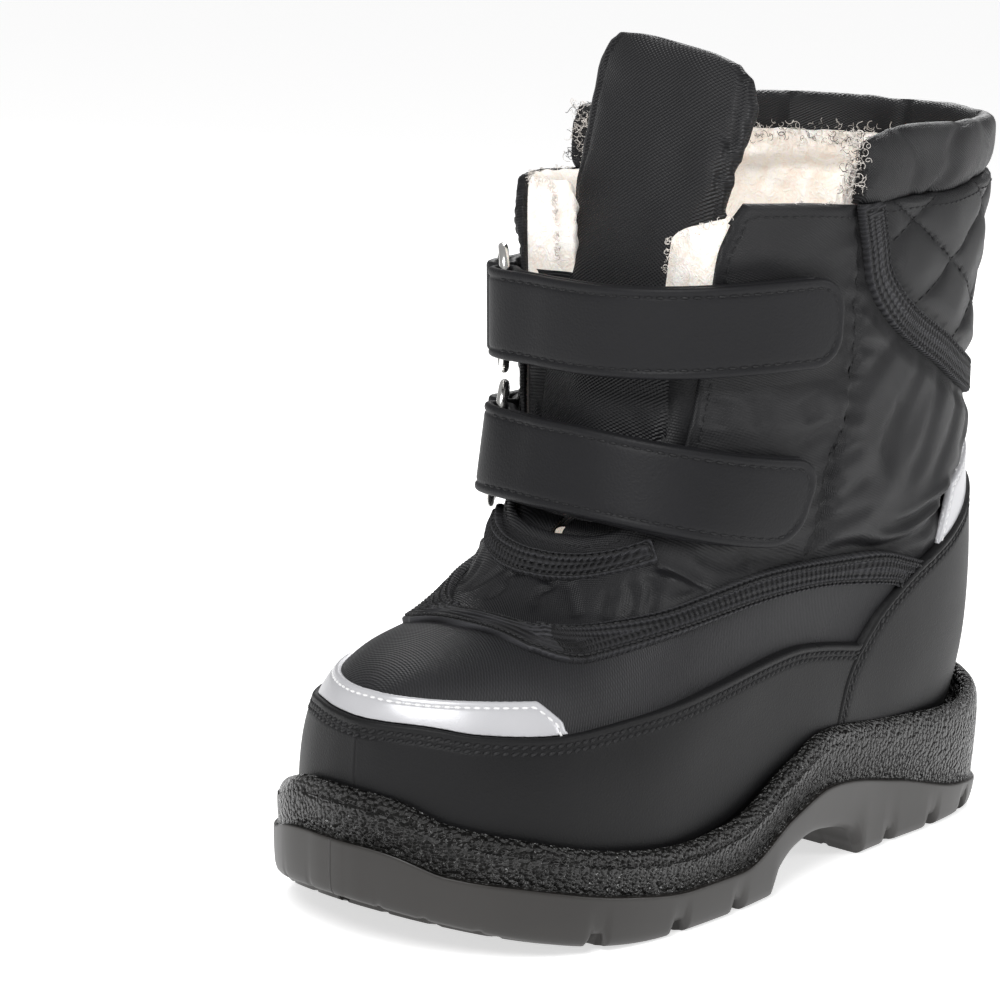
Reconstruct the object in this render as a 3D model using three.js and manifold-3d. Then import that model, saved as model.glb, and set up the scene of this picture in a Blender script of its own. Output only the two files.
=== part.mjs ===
// Snow boot for the left foot: a padded nylon upper with a moulded cup sole, closed by two turn-back straps.
// Millimetres, +Z up. The toe points along -X, the outer (lateral) side faces -Y, and the sole rests on z = 0.
import * as THREE from "three";
import { mergeVertices } from "three/addons/utils/BufferGeometryUtils.js";
import Module from "manifold-3d";

const wasm = await Module();
wasm.setup();

// Driving dimensions
const SOLE_LENGTH = 200;
const BALL_WIDTH = 83; // sole across the ball of the foot
const HEEL_WIDTH = 73; // sole across the heel
const COLLAR_HEIGHT = 160; // floor to the top of the shaft at the back
const WALL = 3; // cloth, foam and backing of the upper
const SEAM_GAP = 0.3; // clearance between pieces that lie on each other

// Sole
const RIM_HEIGHT = 32; // highest point of the wavy top edge, at the waist
const TOE_SPRING = 9.5;
const HEEL_BEVEL = 3;
const TREAD_DEPTH = 2.6;
const BED_HEIGHT = 17; // floor to the footbed under the heel
const ARCH_HEIGHT = 10;
const BAND_STEP = 0.9; // the pebbled upper band is set back this far behind the smooth lower band
const RIM_ROUNDING = 3;
const GROOVE_WIDTH = 4;
const GROOVE_CHEVRON = 5; // the middle of a groove lies this far ahead of its ends

// Layers sewn on the upper
const LEATHER = 1.5; // synthetic leather of the rand and counter
const WEBBING = 1.3;
const REFLECTOR = 0.8;
const THROAT_BAND_WIDTH = 5.2;
const QUARTER_BAND_WIDTH = 7.5;
const BACK_STAY_WIDTH = 8;

// Insole, tongue and cuff
const INSOLE_THICKNESS = 4.5;
const TONGUE_WIDTH = 40;
const TONGUE_THICKNESS = 9.5;
const CUFF_PROUD = 2; // how far the padded cuff stands out of the shaft
const CUFF_PADDING = 2.6; // and how far it stands in past the inner wall

// Turn-back straps, their rings and tabs
const STRAP_WIDTH = 19;
const STRAP_THICKNESS = 1.6;
const STRAP_LIFT = 0.5; // clearance of a strap's base layer over the upper
const LAYER_GAP = 0.4; // between the two layers of a turned-back strap
const STRAP_BASE_REACH = 50; // arc from the front centre to the sewn end of the base layer
const STRAP_END_RADIUS = 7;
const UPPER_STRAP_END = 57; // arc from the front centre to the end of the outer layer
const LOWER_STRAP_END = 55;
const RING_PLACE = 27; // arc from the front centre to the ring, on the medial side
const RING_WIDTH = 12;
const RING_HEIGHT = 28;
const RING_WIRE = 2.2;
const RING_PLAY = 0.6; // clearance between a ring's wire and the strap round it
const RING_SPACING = 1.6; // clearance between the two rings, one above the other
const TAB_LENGTH = 22;
const TAB_END_RADIUS = 6;

// Mesh fineness
const SECTION_STEPS = 26;
const ROUND_STEPS = 28;
const OUTLINE_STEPS = 26;
const FINEST = 0.03; // details smaller than this are merged away

// Sole outline from heel to toe. along: share of SOLE_LENGTH from the heel. lateral, medial: half widths as
// shares of the sole's nominal width there, which runs from HEEL_WIDTH to BALL_WIDTH.
const OUTLINE = {
  along: [0, 0.007, 0.03, 0.085, 0.19, 0.34, 0.5, 0.64, 0.76, 0.86, 0.93, 0.978, 0.996, 1],
  lateral: [0.02, 0.16, 0.31, 0.445, 0.5, 0.496, 0.505, 0.525, 0.515, 0.455, 0.345, 0.195, 0.07, 0.012],
  medial: [0.02, 0.15, 0.29, 0.41, 0.46, 0.43, 0.435, 0.475, 0.485, 0.445, 0.365, 0.235, 0.1, 0.02],
};

// Heights of the sole's side along its length. x: share of SOLE_LENGTH from the middle, toe negative.
// rim: the wavy top edge, line: the step between smooth and pebbled bands, bed: the footbed, as shares of RIM_HEIGHT.
const SIDE = {
  x: [-0.5, -0.46, -0.4, -0.3, -0.2, -0.115, -0.01, 0.07, 0.22, 0.36, 0.5],
  rim: [1, 0.85, 0.755, 0.63, 0.575, 0.62, 0.85, 0.985, 0.9, 0.85, 0.96],
  line: [0.68, 0.55, 0.475, 0.355, 0.285, 0.285, 0.51, 0.61, 0.46, 0.26, 0.19],
  bed: [0.56, 0.44, 0.37, 0.31, 0.3, 0.31, 0.4, 0.485, 0.515, 0.515, 0.515],
};

// Sections of the upper from toe to collar. Each one lies in a plane through its front point and its back point,
// upright at the toe and level at the collar. frontX, backX: shares of SOLE_LENGTH from the middle.
// frontZ, backZ: shares of COLLAR_HEIGHT. lateral, medial: half widths as shares of BALL_WIDTH.
// widest: place of the greatest width from front to back. frontPower, backPower: squareness of the two ends.
const LAST = [
  ["frontX", "frontZ", "backX", "backZ", "lateral", "medial", "widest", "frontPower", "backPower"],
  [-0.471, 0.272, -0.471, 0.05, 0.01, 0.01, 0.55, 2.6, 4],
  [-0.466, 0.292, -0.466, 0.04, 0.085, 0.1, 0.55, 2.6, 4],
  [-0.449, 0.318, -0.449, 0.03, 0.17, 0.2, 0.56, 2.6, 4],
  [-0.4125, 0.341, -0.4125, 0.025, 0.28, 0.297, 0.57, 2.6, 4],
  [-0.3525, 0.36, -0.3525, 0.02, 0.375, 0.37, 0.57, 2.6, 4],
  [-0.2725, 0.376, -0.27, 0.02, 0.431, 0.414, 0.56, 2.5, 4],
  [-0.23, 0.405, -0.18, 0.025, 0.45, 0.41, 0.55, 2.4, 4],
  [-0.2, 0.448, -0.05, 0.03, 0.44, 0.385, 0.52, 2.4, 3.6],
  [-0.18, 0.5, 0.11, 0.05, 0.42, 0.37, 0.5, 2.4, 3.4],
  [-0.167, 0.556, 0.285, 0.055, 0.407, 0.375, 0.48, 2.5, 3.2],
  [-0.16, 0.612, 0.41, 0.085, 0.415, 0.39, 0.46, 2.5, 2.9],
  [-0.157, 0.67, 0.455, 0.18, 0.435, 0.415, 0.46, 2.5, 2.7],
  [-0.156, 0.735, 0.457, 0.31, 0.45, 0.435, 0.48, 2.5, 2.6],
  [-0.156, 0.8, 0.434, 0.5, 0.46, 0.45, 0.5, 2.5, 2.5],
  [-0.158, 0.87, 0.42, 0.68, 0.468, 0.46, 0.5, 2.5, 2.5],
  [-0.16, 0.94, 0.43, 0.85, 0.475, 0.468, 0.5, 2.5, 2.5],
  [-0.162, 1.02, 0.442, 1.02, 0.482, 0.475, 0.5, 2.5, 2.5],
];

// Outlines in the side view, as [x share of SOLE_LENGTH, z share of COLLAR_HEIGHT]. x is 0 at the middle.
const RAND_TOP = [
  [-0.55, 0.284],
  [-0.455, 0.284],
  [-0.41, 0.275],
  [-0.34, 0.272],
  [-0.245, 0.283],
  [-0.12, 0.304],
  [-0.007, 0.319],
  [0.06, 0.316],
  [0.15, 0.3],
];
const COUNTER_EDGE = [
  [0.085, 0.062],
  [0.1, 0.194],
  [0.113, 0.256],
  [0.138, 0.306],
  [0.172, 0.353],
  [0.215, 0.391],
  [0.265, 0.419],
  [0.3, 0.438],
  [0.34, 0.463],
  [0.39, 0.497],
  [0.45, 0.519],
  [0.55, 0.525],
];
const TOE_REFLECTOR = [
  [-0.55, 0.25],
  [-0.55, 0.316],
  [-0.42, 0.313],
  [-0.353, 0.311],
  [-0.337, 0.287],
  [-0.337, 0.25],
];
const HEEL_REFLECTOR = [
  [0.262, 0.4],
  [0.268, 0.43],
  [0.288, 0.503],
  [0.35, 0.537],
  [0.4, 0.562],
  [0.46, 0.578],
  [0.55, 0.581],
  [0.55, 0.4],
];
const INSTEP_BAND_FRONT = [
  [-0.319, 0.5],
  [-0.319, 0.372],
  [-0.311, 0.352],
  [-0.287, 0.342],
  [-0.254, 0.345],
  [-0.165, 0.368],
  [-0.057, 0.386],
  [0.057, 0.393],
  [0.17, 0.379],
  [0.24, 0.356],
];
const INSTEP_BAND_REAR = [
  [0.24, 0.4],
  [0.205, 0.414],
  [0.137, 0.431],
  [-0.003, 0.432],
  [-0.105, 0.416],
  [-0.185, 0.394],
  [-0.245, 0.376],
  [-0.268, 0.374],
  [-0.278, 0.383],
  [-0.279, 0.5],
];
const QUARTER_BAND = [
  [0.064, 0.915],
  [0.08, 0.855],
  [0.093, 0.809],
  [0.125, 0.769],
  [0.17, 0.734],
  [0.228, 0.701],
  [0.28, 0.67],
  [0.34, 0.644],
  [0.4, 0.628],
  [0.475, 0.622],
];
const COLLAR_EDGE = [
  [-0.2, 0.909],
  [-0.03, 0.911],
  [0.055, 0.906],
  [0.12, 0.912],
  [0.22, 0.916],
  [0.28, 0.924],
  [0.375, 0.931],
  [0.46, 0.934],
];

// Half outlines in the front view, as [y share of BALL_WIDTH, z share of COLLAR_HEIGHT], from the middle outwards.
const THROAT = [
  [0, 0.472],
  [0.145, 0.481],
  [0.23, 0.52],
  [0.265, 0.575],
  [0.29, 0.688],
  [0.312, 0.825],
  [0.33, 0.87],
  [0.352, 0.897],
  [0.405, 0.915],
  [0.45, 1.1],
];
const THROAT_BAND = [
  [0, 0.432],
  [0.06, 0.433],
  [0.139, 0.439],
  [0.211, 0.451],
  [0.265, 0.466],
];

// Sections of the tongue from its seam to its top, all level. z: share of COLLAR_HEIGHT. front: share of
// SOLE_LENGTH from the middle. half: share of TONGUE_WIDTH. thick and bow (how far the edges lie behind the
// middle): shares of TONGUE_THICKNESS.
const TONGUE = {
  z: [0.437, 0.5, 0.575, 0.675, 0.8, 0.938, 1.038, 1.082, 1.109, 1.122],
  front: [-0.182, -0.1725, -0.1565, -0.134, -0.1025, -0.07, -0.0475, -0.04, -0.033, -0.024],
  half: [0.35, 0.425, 0.4625, 0.4625, 0.425, 0.457, 0.5, 0.475, 0.387, 0.225],
  thick: [0.47, 0.53, 0.58, 0.63, 0.68, 0.84, 1, 0.98, 0.74, 0.37],
  bow: [0.55, 0.65, 0.7, 0.55, 0.32, 0.2, 0.16, 0.14, 0.1, 0.05],
};
const TONGUE_POWER = 3.4;

// Middle lines of the straps. end: arc from the front centre to the outer layer's end. height: at the front centre.
// rise: how much higher the end lies, as a share of COLLAR_HEIGHT.
const UPPER_STRAP_HEIGHT = 0.7375 * COLLAR_HEIGHT;
const STRAPS = [
  { place: "upper", end: UPPER_STRAP_END, height: UPPER_STRAP_HEIGHT, rise: 0.022 },
  { place: "lower", end: LOWER_STRAP_END, height: UPPER_STRAP_HEIGHT - RING_HEIGHT - RING_SPACING, rise: -0.032 },
];

// Small helpers: smooth steps and curves through table rows.
const clamp01 = (t) => Math.min(1, Math.max(0, t));
const smooth = (t) => clamp01(t) ** 2 * (3 - 2 * clamp01(t));

function throughRows(values, place) {
  const last = values.length - 1;
  const k = Math.min(last - 1, Math.max(0, Math.floor(place)));
  const t = place - k;
  const b = values[k];
  const c = values[k + 1];
  const a = k > 0 ? values[k - 1] : 2 * b - c;
  const d = k < last - 1 ? values[k + 2] : 2 * c - b;
  return b + 0.5 * t * (c - a + t * (2 * a - 5 * b + 4 * c - d + t * (3 * (b - c) + d - a)));
}

// A smooth function of x through the points (xs, ys), with no overshoot between two rows.
function curveOf(xs, ys) {
  const slope = ys.map((_, i) => {
    if (i === 0 || i === ys.length - 1) return 0;
    const before = (ys[i] - ys[i - 1]) / (xs[i] - xs[i - 1]);
    const after = (ys[i + 1] - ys[i]) / (xs[i + 1] - xs[i]);
    return before * after <= 0 ? 0 : (2 * before * after) / (before + after);
  });
  return (x) => {
    if (x <= xs[0]) return ys[0];
    if (x >= xs[xs.length - 1]) return ys[ys.length - 1];
    const i = xs.findIndex((edge) => edge > x) - 1;
    const span = xs[i + 1] - xs[i];
    const t = (x - xs[i]) / span;
    const rise = ys[i + 1] - ys[i];
    const bend = slope[i] * span * t * (1 - t) ** 2 - slope[i + 1] * span * t * t * (1 - t);
    return ys[i] + rise * smooth(t) + bend;
  };
}

// Solids: meshes with shared vertices, joined and cut.
function solidOf(geometry) {
  const bare = geometry.clone();
  bare.deleteAttribute("normal");
  bare.deleteAttribute("uv");
  const merged = mergeVertices(bare, 1e-4);
  return new wasm.Manifold(
    new wasm.Mesh({
      numProp: 3,
      vertProperties: merged.attributes.position.array,
      triVerts: new Uint32Array(merged.index.array),
    }),
  );
}

function geometryOf(solid) {
  const mesh = solid.getMesh();
  const geometry = new THREE.BufferGeometry();
  geometry.setAttribute("position", new THREE.BufferAttribute(mesh.vertProperties, 3));
  geometry.setIndex(new THREE.BufferAttribute(mesh.triVerts, 1));
  geometry.computeVertexNormals();
  return geometry;
}

function geometryFrom(points, triangles) {
  const geometry = new THREE.BufferGeometry();
  geometry.setAttribute("position", new THREE.Float32BufferAttribute(points.flatMap((p) => p.toArray()), 3));
  geometry.setIndex(triangles.flat());
  return geometry;
}

// A closed body through rings of equally many points. Ends are closed by a fan, or by rungs between the two sides
// of a ring whose points pair up, first half against second half. A closed wire has none.
function loft(rings, ends = "fan") {
  const count = rings[0].length;
  const points = rings.flat();
  const triangles = [];
  for (let i = 0; i < rings.length - 1; i++) {
    for (let j = 0; j < count; j++) {
      const a = i * count + j;
      const b = i * count + ((j + 1) % count);
      triangles.push([a, b, b + count], [a, b + count, a + count]);
    }
  }
  const close = (ring, start, flip) => {
    const add = (a, b, c) => triangles.push(flip ? [a, c, b] : [a, b, c]);
    if (ends === "rungs") {
      for (let j = 0; j < count / 2 - 1; j++) {
        const far = count - 1 - j;
        add(start + j + 1, start + j, start + far);
        add(start + j + 1, start + far, start + far - 1);
      }
      return;
    }
    const centre = ring.reduce((sum, p) => sum.add(p), new THREE.Vector3()).divideScalar(count);
    points.push(centre);
    for (let j = 0; j < count; j++) add(start + ((j + 1) % count), start + j, points.length - 1);
  };
  if (ends !== "none") {
    close(rings[0], 0, false);
    close(rings[rings.length - 1], (rings.length - 1) * count, true);
  }
  return solidFacingOut(geometryFrom(points, triangles));
}

function solidFacingOut(geometry) {
  const solid = solidOf(geometry);
  if (solid.volume() > 0) return solid;
  const index = geometry.index.array;
  for (let i = 0; i < index.length; i += 3) [index[i + 1], index[i + 2]] = [index[i + 2], index[i + 1]];
  return solidOf(geometry);
}

// A wide block whose outline is drawn in the side view (x, z), or in the front view (y, z).
const REACH = 2 * SOLE_LENGTH;
function sideBlock(outline) {
  const shape = new THREE.Shape(outline.map(([x, z]) => new THREE.Vector2(x, z)));
  const geometry = new THREE.ExtrudeGeometry(shape, { depth: REACH, bevelEnabled: false });
  geometry.rotateX(Math.PI / 2);
  geometry.translate(0, REACH / 2, 0);
  return solidOf(geometry);
}

function frontBlock(outline, fromX, toX) {
  const shape = new THREE.Shape(outline.map(([y, z]) => new THREE.Vector2(y, z)));
  const geometry = new THREE.ExtrudeGeometry(shape, { depth: toX - fromX, bevelEnabled: false });
  geometry.rotateX(Math.PI / 2);
  geometry.rotateZ(Math.PI / 2);
  geometry.translate(fromX, 0, 0);
  return solidOf(geometry);
}

// Outlines from tables of shares
const sidePoints = (shares) => shares.map(([x, z]) => new THREE.Vector2(x * SOLE_LENGTH, z * COLLAR_HEIGHT));
const frontPoints = (shares) => shares.map(([y, z]) => new THREE.Vector2(y * BALL_WIDTH, z * COLLAR_HEIGHT));
const pairs = (points) => points.map((p) => [p.x, p.y]);
const flowing = (points, steps) => new THREE.SplineCurve(points).getPoints(steps);

// A line of points moved sideways, to the left of its run for a positive distance
function shifted(points, distance) {
  return points.map((p, i) => {
    const before = points[Math.max(0, i - 1)];
    const after = points[Math.min(points.length - 1, i + 1)];
    const along = after.clone().sub(before).normalize();
    return new THREE.Vector2(p.x - along.y * distance, p.y + along.x * distance);
  });
}

// The outline of a band of even width along a line
function bandOutline(points, width) {
  return pairs([...shifted(points, width / 2), ...shifted(points, -width / 2).reverse()]);
}

// The sole's heights at a place along the boot, in millimetres
const sideX = SIDE.x.map((share) => share * SOLE_LENGTH);
const heights = (shares) => curveOf(sideX, shares.map((share) => share * RIM_HEIGHT));
const rimZ = heights(SIDE.rim);
const lineZ = heights(SIDE.line);
const bedShape = heights(SIDE.bed);
const bedLift = BED_HEIGHT - bedShape(SOLE_LENGTH / 2);
const bedZ = (x) => bedShape(x) + bedLift;
const SPRING_FROM = 0.24; // where the toe spring starts, ahead of the middle, as a share of SOLE_LENGTH
const BEVEL_SHARE = 0.07; // length of the bevel at the back of the heel

function treadZ(x) {
  const share = x / SOLE_LENGTH;
  const toe = clamp01((-share - SPRING_FROM) / (0.5 - SPRING_FROM));
  const heel = clamp01((share - 0.5 + BEVEL_SHARE) / BEVEL_SHARE);
  return TOE_SPRING * toe ** 1.8 + HEEL_BEVEL * heel ** 2;
}

// Sole outline: a list of points round the sole, lateral side from heel to toe and back along the medial side.
function soleOutline() {
  const lateral = [];
  const medial = [];
  for (let k = 0; k <= OUTLINE_STEPS; k++) {
    const place = (k / OUTLINE_STEPS) * (OUTLINE.along.length - 1);
    const along = throughRows(OUTLINE.along, place);
    const width = HEEL_WIDTH + (BALL_WIDTH - HEEL_WIDTH) * smooth((along - 0.2) / 0.4);
    const x = (0.5 - along) * SOLE_LENGTH;
    lateral.push(new THREE.Vector2(x, -width * throughRows(OUTLINE.lateral, place)));
    medial.push(new THREE.Vector2(x, width * throughRows(OUTLINE.medial, place)));
  }
  return [...lateral, ...medial.reverse()];
}

function inset(outline, distance) {
  return outline.map((p, i) => {
    const before = outline[(i + outline.length - 1) % outline.length];
    const after = outline[(i + 1) % outline.length];
    const along = after.clone().sub(before).normalize();
    return new THREE.Vector2(p.x - along.y * -distance, p.y - along.x * distance);
  });
}

// One layer of the sole's side: how far it is set in from the outline, and its height there.
const SOLE_LAYERS = [
  [3, (x) => treadZ(x)],
  [0.8, (x) => treadZ(x) + 1.8],
  [0, (x) => lineZ(x) - 0.4],
  [BAND_STEP, (x) => lineZ(x) + 0.4],
  [BAND_STEP - 0.4, (x) => (lineZ(x) + rimZ(x)) / 2],
  [BAND_STEP + 0.4, (x) => rimZ(x) - RIM_ROUNDING / 2],
  [RIM_ROUNDING, (x) => rimZ(x)],
];

function soleBody() {
  const outline = soleOutline();
  const rings = SOLE_LAYERS.map(([depth, z]) =>
    inset(outline, depth).map((p) => new THREE.Vector3(p.x, p.y, z(p.x))),
  );
  return loft(rings, "rungs");
}

// The arch under the waist, open from side to side, between the forefoot tread and the front of the heel.
const ARCH = [
  [-0.055, -0.3],
  [-0.035, 0.45],
  [0, 0.85],
  [0.045, 1],
  [0.09, 0.9],
  [0.135, 0.65],
  [0.15, 0.3],
  [0.158, -0.3],
];

function archBlock() {
  const points = ARCH.map(([x, z]) => new THREE.Vector2(x * SOLE_LENGTH, z * ARCH_HEIGHT));
  const curve = new THREE.SplineCurve(points);
  return sideBlock(curve.getPoints(20).map((p) => [p.x, p.y]));
}

// Tread grooves across the sole, at the places where they notch its edge, and one along its middle.
const GROOVES = [-0.325, -0.215, -0.115, 0.22, 0.31, 0.39];
const GROOVE_OVERRUN = 6; // a groove is cut this far past the sole's edges and its underside

function groove(share) {
  const x = share * SOLE_LENGTH;
  const half = GROOVE_WIDTH / 2;
  const edge = BALL_WIDTH / 2 + GROOVE_OVERRUN;
  const top = treadZ(x) + TREAD_DEPTH;
  const plan = new THREE.Shape([
    new THREE.Vector2(x - half, -edge),
    new THREE.Vector2(x + half, -edge),
    new THREE.Vector2(x + half - GROOVE_CHEVRON, 0),
    new THREE.Vector2(x + half, edge),
    new THREE.Vector2(x - half, edge),
    new THREE.Vector2(x - half - GROOVE_CHEVRON, 0),
  ]);
  const geometry = new THREE.ExtrudeGeometry(plan, { depth: top + GROOVE_OVERRUN, bevelEnabled: false });
  geometry.translate(0, 0, -GROOVE_OVERRUN);
  return solidOf(geometry);
}

// The surface of the upper: a point for a place from toe (0) to collar (1) and a turn round the section, which
// starts at the front point and runs over the lateral side to the back point and on over the medial side.
const LAST_COLUMNS = Object.fromEntries(
  LAST[0].map((name, column) => [name, LAST.slice(1).map((row) => row[column])]),
);
const LAST_ROWS = LAST.length - 2;

function lastPoint(place, turn) {
  const at = (name) => throughRows(LAST_COLUMNS[name], place * LAST_ROWS);
  const angle = turn * 2 * Math.PI;
  const c = Math.cos(angle);
  const s = Math.sin(angle);
  const ahead = c > 0;
  const power = 2 / (ahead ? at("frontPower") : at("backPower"));
  const reach = ahead ? at("widest") : 1 - at("widest");
  const share = at("widest") - Math.sign(c) * reach * Math.abs(c) ** power;
  const half = (s > 0 ? -at("lateral") : at("medial")) * BALL_WIDTH;
  return new THREE.Vector3(
    SOLE_LENGTH * (at("frontX") + (at("backX") - at("frontX")) * share),
    half * Math.abs(s) ** power,
    COLLAR_HEIGHT * (at("frontZ") + (at("backZ") - at("frontZ")) * share),
  );
}

const NUDGE = 1e-3;
function lastNormal(place, turn) {
  const low = Math.max(0, place - NUDGE);
  const high = Math.min(1, place + NUDGE);
  const along = lastPoint(high, turn).sub(lastPoint(low, turn));
  const round = lastPoint(place, turn + NUDGE).sub(lastPoint(place, turn - NUDGE));
  return along.cross(round).normalize().negate();
}

function lastBody(offset) {
  const rings = [];
  const first = offset < 0 ? 1 : 0; // an inward offset would fold the narrow first ring over
  for (let i = first; i <= SECTION_STEPS; i++) {
    const ring = [];
    for (let j = 0; j < ROUND_STEPS; j++) {
      const place = i / SECTION_STEPS;
      const turn = (j + 0.5) / ROUND_STEPS;
      ring.push(lastPoint(place, turn).addScaledVector(lastNormal(place, turn), offset));
    }
    rings.push(ring);
  }
  return loft(rings);
}

// Blocks that bound the upper: everything above the footbed, and the space above the collar's edge.
function aboveBed(clearance) {
  const outline = sideX.map((x) => [x, bedZ(x) + clearance]);
  outline[0][0] = -REACH / 2;
  outline[outline.length - 1][0] = REACH / 2;
  return sideBlock([...outline, [REACH / 2, REACH], [-REACH / 2, REACH]]);
}

const outerBody = lastBody(0);
const innerBody = lastBody(-WALL);
const innerClear = lastBody(-WALL - SEAM_GAP);
const layerBase = lastBody(SEAM_GAP);
const layer = (thickness) => lastBody(SEAM_GAP + thickness).subtract(layerBase);
const leatherLayer = layer(LEATHER);
const webbingLayer = layer(WEBBING);
const reflectorLayer = layer(REFLECTOR);
const nestBody = lastBody(LEATHER + 2 * SEAM_GAP); // hollow of the sole round the upper and its overlays

// Collar edge of the upper: the space above it, for a clearance over the edge
const collarZ = curveOf(
  COLLAR_EDGE.map(([x]) => x * SOLE_LENGTH),
  COLLAR_EDGE.map(([, z]) => z * COLLAR_HEIGHT),
);

function aboveCollar(clearance) {
  const steps = 16;
  const edge = [];
  for (let k = 0; k <= steps; k++) {
    const x = (k / steps - 0.5) * 1.2 * SOLE_LENGTH;
    edge.push([x, collarZ(x) + clearance]);
  }
  return sideBlock([...edge, [0.6 * SOLE_LENGTH, REACH], [-0.6 * SOLE_LENGTH, REACH]]);
}

// The throat: a slot through the front wall only
function throatBlock(narrower) {
  const half = flowing(frontPoints(THROAT), 24);
  const right = half.map((p) => [Math.max(p.x - narrower, 0), p.y + narrower]);
  const left = right.slice(1).map(([y, z]) => [-y, z]);
  return frontBlock([...left.reverse(), ...right], -REACH / 2, 0);
}

// The outsole: a moulded cup that the upper stands in
function outsole() {
  let sole = soleBody().subtract(archBlock());
  for (const share of GROOVES) sole = sole.subtract(groove(share));
  return sole.subtract(nestBody.intersect(aboveBed(0)));
}

function insole() {
  return innerClear.intersect(aboveBed(SEAM_GAP)).subtract(aboveBed(SEAM_GAP + INSOLE_THICKNESS));
}

// The upper: one hollow wall, open underneath, at the collar and down the throat
function upper() {
  return outerBody.subtract(innerBody).intersect(aboveBed(SEAM_GAP)).subtract(aboveCollar(0)).subtract(throatBlock(0));
}

// The padded tongue, clear of the throat's edges
function tongue() {
  const rows = TONGUE.z.length - 1;
  const steps = 16;
  const round = 18;
  const rings = [];
  for (let i = 0; i <= steps; i++) {
    const at = (name) => throughRows(TONGUE[name], (i / steps) * rows);
    const thick = at("thick") * TONGUE_THICKNESS;
    const ring = [];
    for (let j = 0; j < round; j++) {
      const angle = (j / round) * 2 * Math.PI;
      const c = Math.cos(angle);
      const s = Math.sin(angle);
      const power = 2 / TONGUE_POWER;
      const across = Math.sign(s) * Math.abs(s) ** power;
      const back = (thick / 2) * (1 - Math.sign(c) * Math.abs(c) ** power) + at("bow") * TONGUE_THICKNESS * across ** 2;
      const x = at("front") * SOLE_LENGTH + back;
      const y = across * at("half") * TONGUE_WIDTH;
      ring.push(new THREE.Vector3(x, y, at("z") * COLLAR_HEIGHT));
    }
    rings.push(ring);
  }
  const wall = layerBase.subtract(innerClear).subtract(throatBlock(SEAM_GAP));
  return loft(rings).subtract(wall);
}

// Overlays: patches of a layer on the upper, inside an outline of the side view or the front view
const counterLine = flowing(sidePoints(COUNTER_EDGE), 22);

function counterBlock(clearance) {
  const edge = pairs(shifted(counterLine, clearance));
  return sideBlock([...edge, [0.6 * SOLE_LENGTH, -COLLAR_HEIGHT], [edge[0][0], -COLLAR_HEIGHT]]);
}

function heelCounter() {
  return leatherLayer.intersect(counterBlock(0)).intersect(aboveBed(SEAM_GAP));
}

const randLine = flowing(sidePoints(RAND_TOP), 16);

function randBlock(clearance) {
  const edge = pairs(shifted(randLine, clearance));
  return sideBlock([...edge, [edge[edge.length - 1][0], -COLLAR_HEIGHT], [edge[0][0], -COLLAR_HEIGHT]]);
}

function toeRand() {
  return leatherLayer.intersect(randBlock(0)).intersect(aboveBed(SEAM_GAP)).subtract(counterBlock(SEAM_GAP));
}

function toeReflector() {
  return reflectorLayer.intersect(sideBlock(pairs(sidePoints(TOE_REFLECTOR)))).subtract(randBlock(SEAM_GAP));
}

function heelReflector() {
  return reflectorLayer.intersect(sideBlock(pairs(sidePoints(HEEL_REFLECTOR)))).subtract(counterBlock(SEAM_GAP));
}

function instepBand() {
  const outline = [...flowing(sidePoints(INSTEP_BAND_FRONT), 18), ...flowing(sidePoints(INSTEP_BAND_REAR), 18)];
  return webbingLayer.intersect(sideBlock(pairs(outline))).subtract(counterBlock(SEAM_GAP));
}

function throatBand() {
  const half = flowing(frontPoints(THROAT_BAND), 10);
  const line = [...half.slice(1).reverse().map((p) => new THREE.Vector2(-p.x, p.y)), ...half];
  return webbingLayer.intersect(frontBlock(bandOutline(line, THROAT_BAND_WIDTH), -REACH / 2, -0.08 * SOLE_LENGTH));
}

// The back stay runs up the middle of the back, from the heel reflector to the cuff, and parts the two quarter bands.
function backStayBlock(clearance) {
  const half = BACK_STAY_WIDTH / 2 + clearance;
  return frontBlock([[-half, 0], [half, 0], [half, REACH], [-half, REACH]], 0.25 * SOLE_LENGTH, REACH / 2);
}

const reflectorTop = HEEL_REFLECTOR[HEEL_REFLECTOR.length - 2][1] * COLLAR_HEIGHT;

function backStay() {
  const low = reflectorTop + SEAM_GAP;
  const span = sideBlock([[0, low], [REACH / 2, low], [REACH / 2, REACH], [0, REACH]]);
  return webbingLayer.intersect(backStayBlock(0)).intersect(span).subtract(aboveCollar(-SEAM_GAP));
}

function quarterBand(side) {
  const band = sideBlock(bandOutline(flowing(sidePoints(QUARTER_BAND), 18), QUARTER_BAND_WIDTH));
  const width = REACH * side;
  const half = frontBlock([[0, 0], [width, 0], [width, REACH], [0, REACH]], -REACH / 2, REACH / 2);
  return webbingLayer.intersect(band).intersect(half).subtract(backStayBlock(SEAM_GAP)).subtract(aboveCollar(-SEAM_GAP));
}

// A place on the shaft at a turn round it and a height, with its outward direction
function shaftPlace(turn, z) {
  let low = 0.38;
  let high = 1;
  for (let k = 0; k < 30; k++) {
    const middle = (low + high) / 2;
    if (lastPoint(middle, turn).z < z) low = middle;
    else high = middle;
  }
  return { point: lastPoint(low, turn), normal: lastNormal(low, turn) };
}

// The turn where the shaft's surface passes a place x of the boot's length, on its lateral or medial half
function turnAtX(x, z, lateral) {
  let low = 0;
  let high = 0.5;
  for (let k = 0; k < 30; k++) {
    const middle = (low + high) / 2;
    if (shaftPlace(lateral ? middle : 1 - middle, z).point.x < x) low = middle;
    else high = middle;
  }
  return lateral ? low : 1 - low;
}

// The padded cuff: a roll on the collar's edge, round the back from one quarter to the other
const CUFF_START = 0.052; // share of SOLE_LENGTH behind the middle
const CUFF_TOP = 1.017; // share of COLLAR_HEIGHT
const CUFF_POWER = 3.2;

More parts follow.
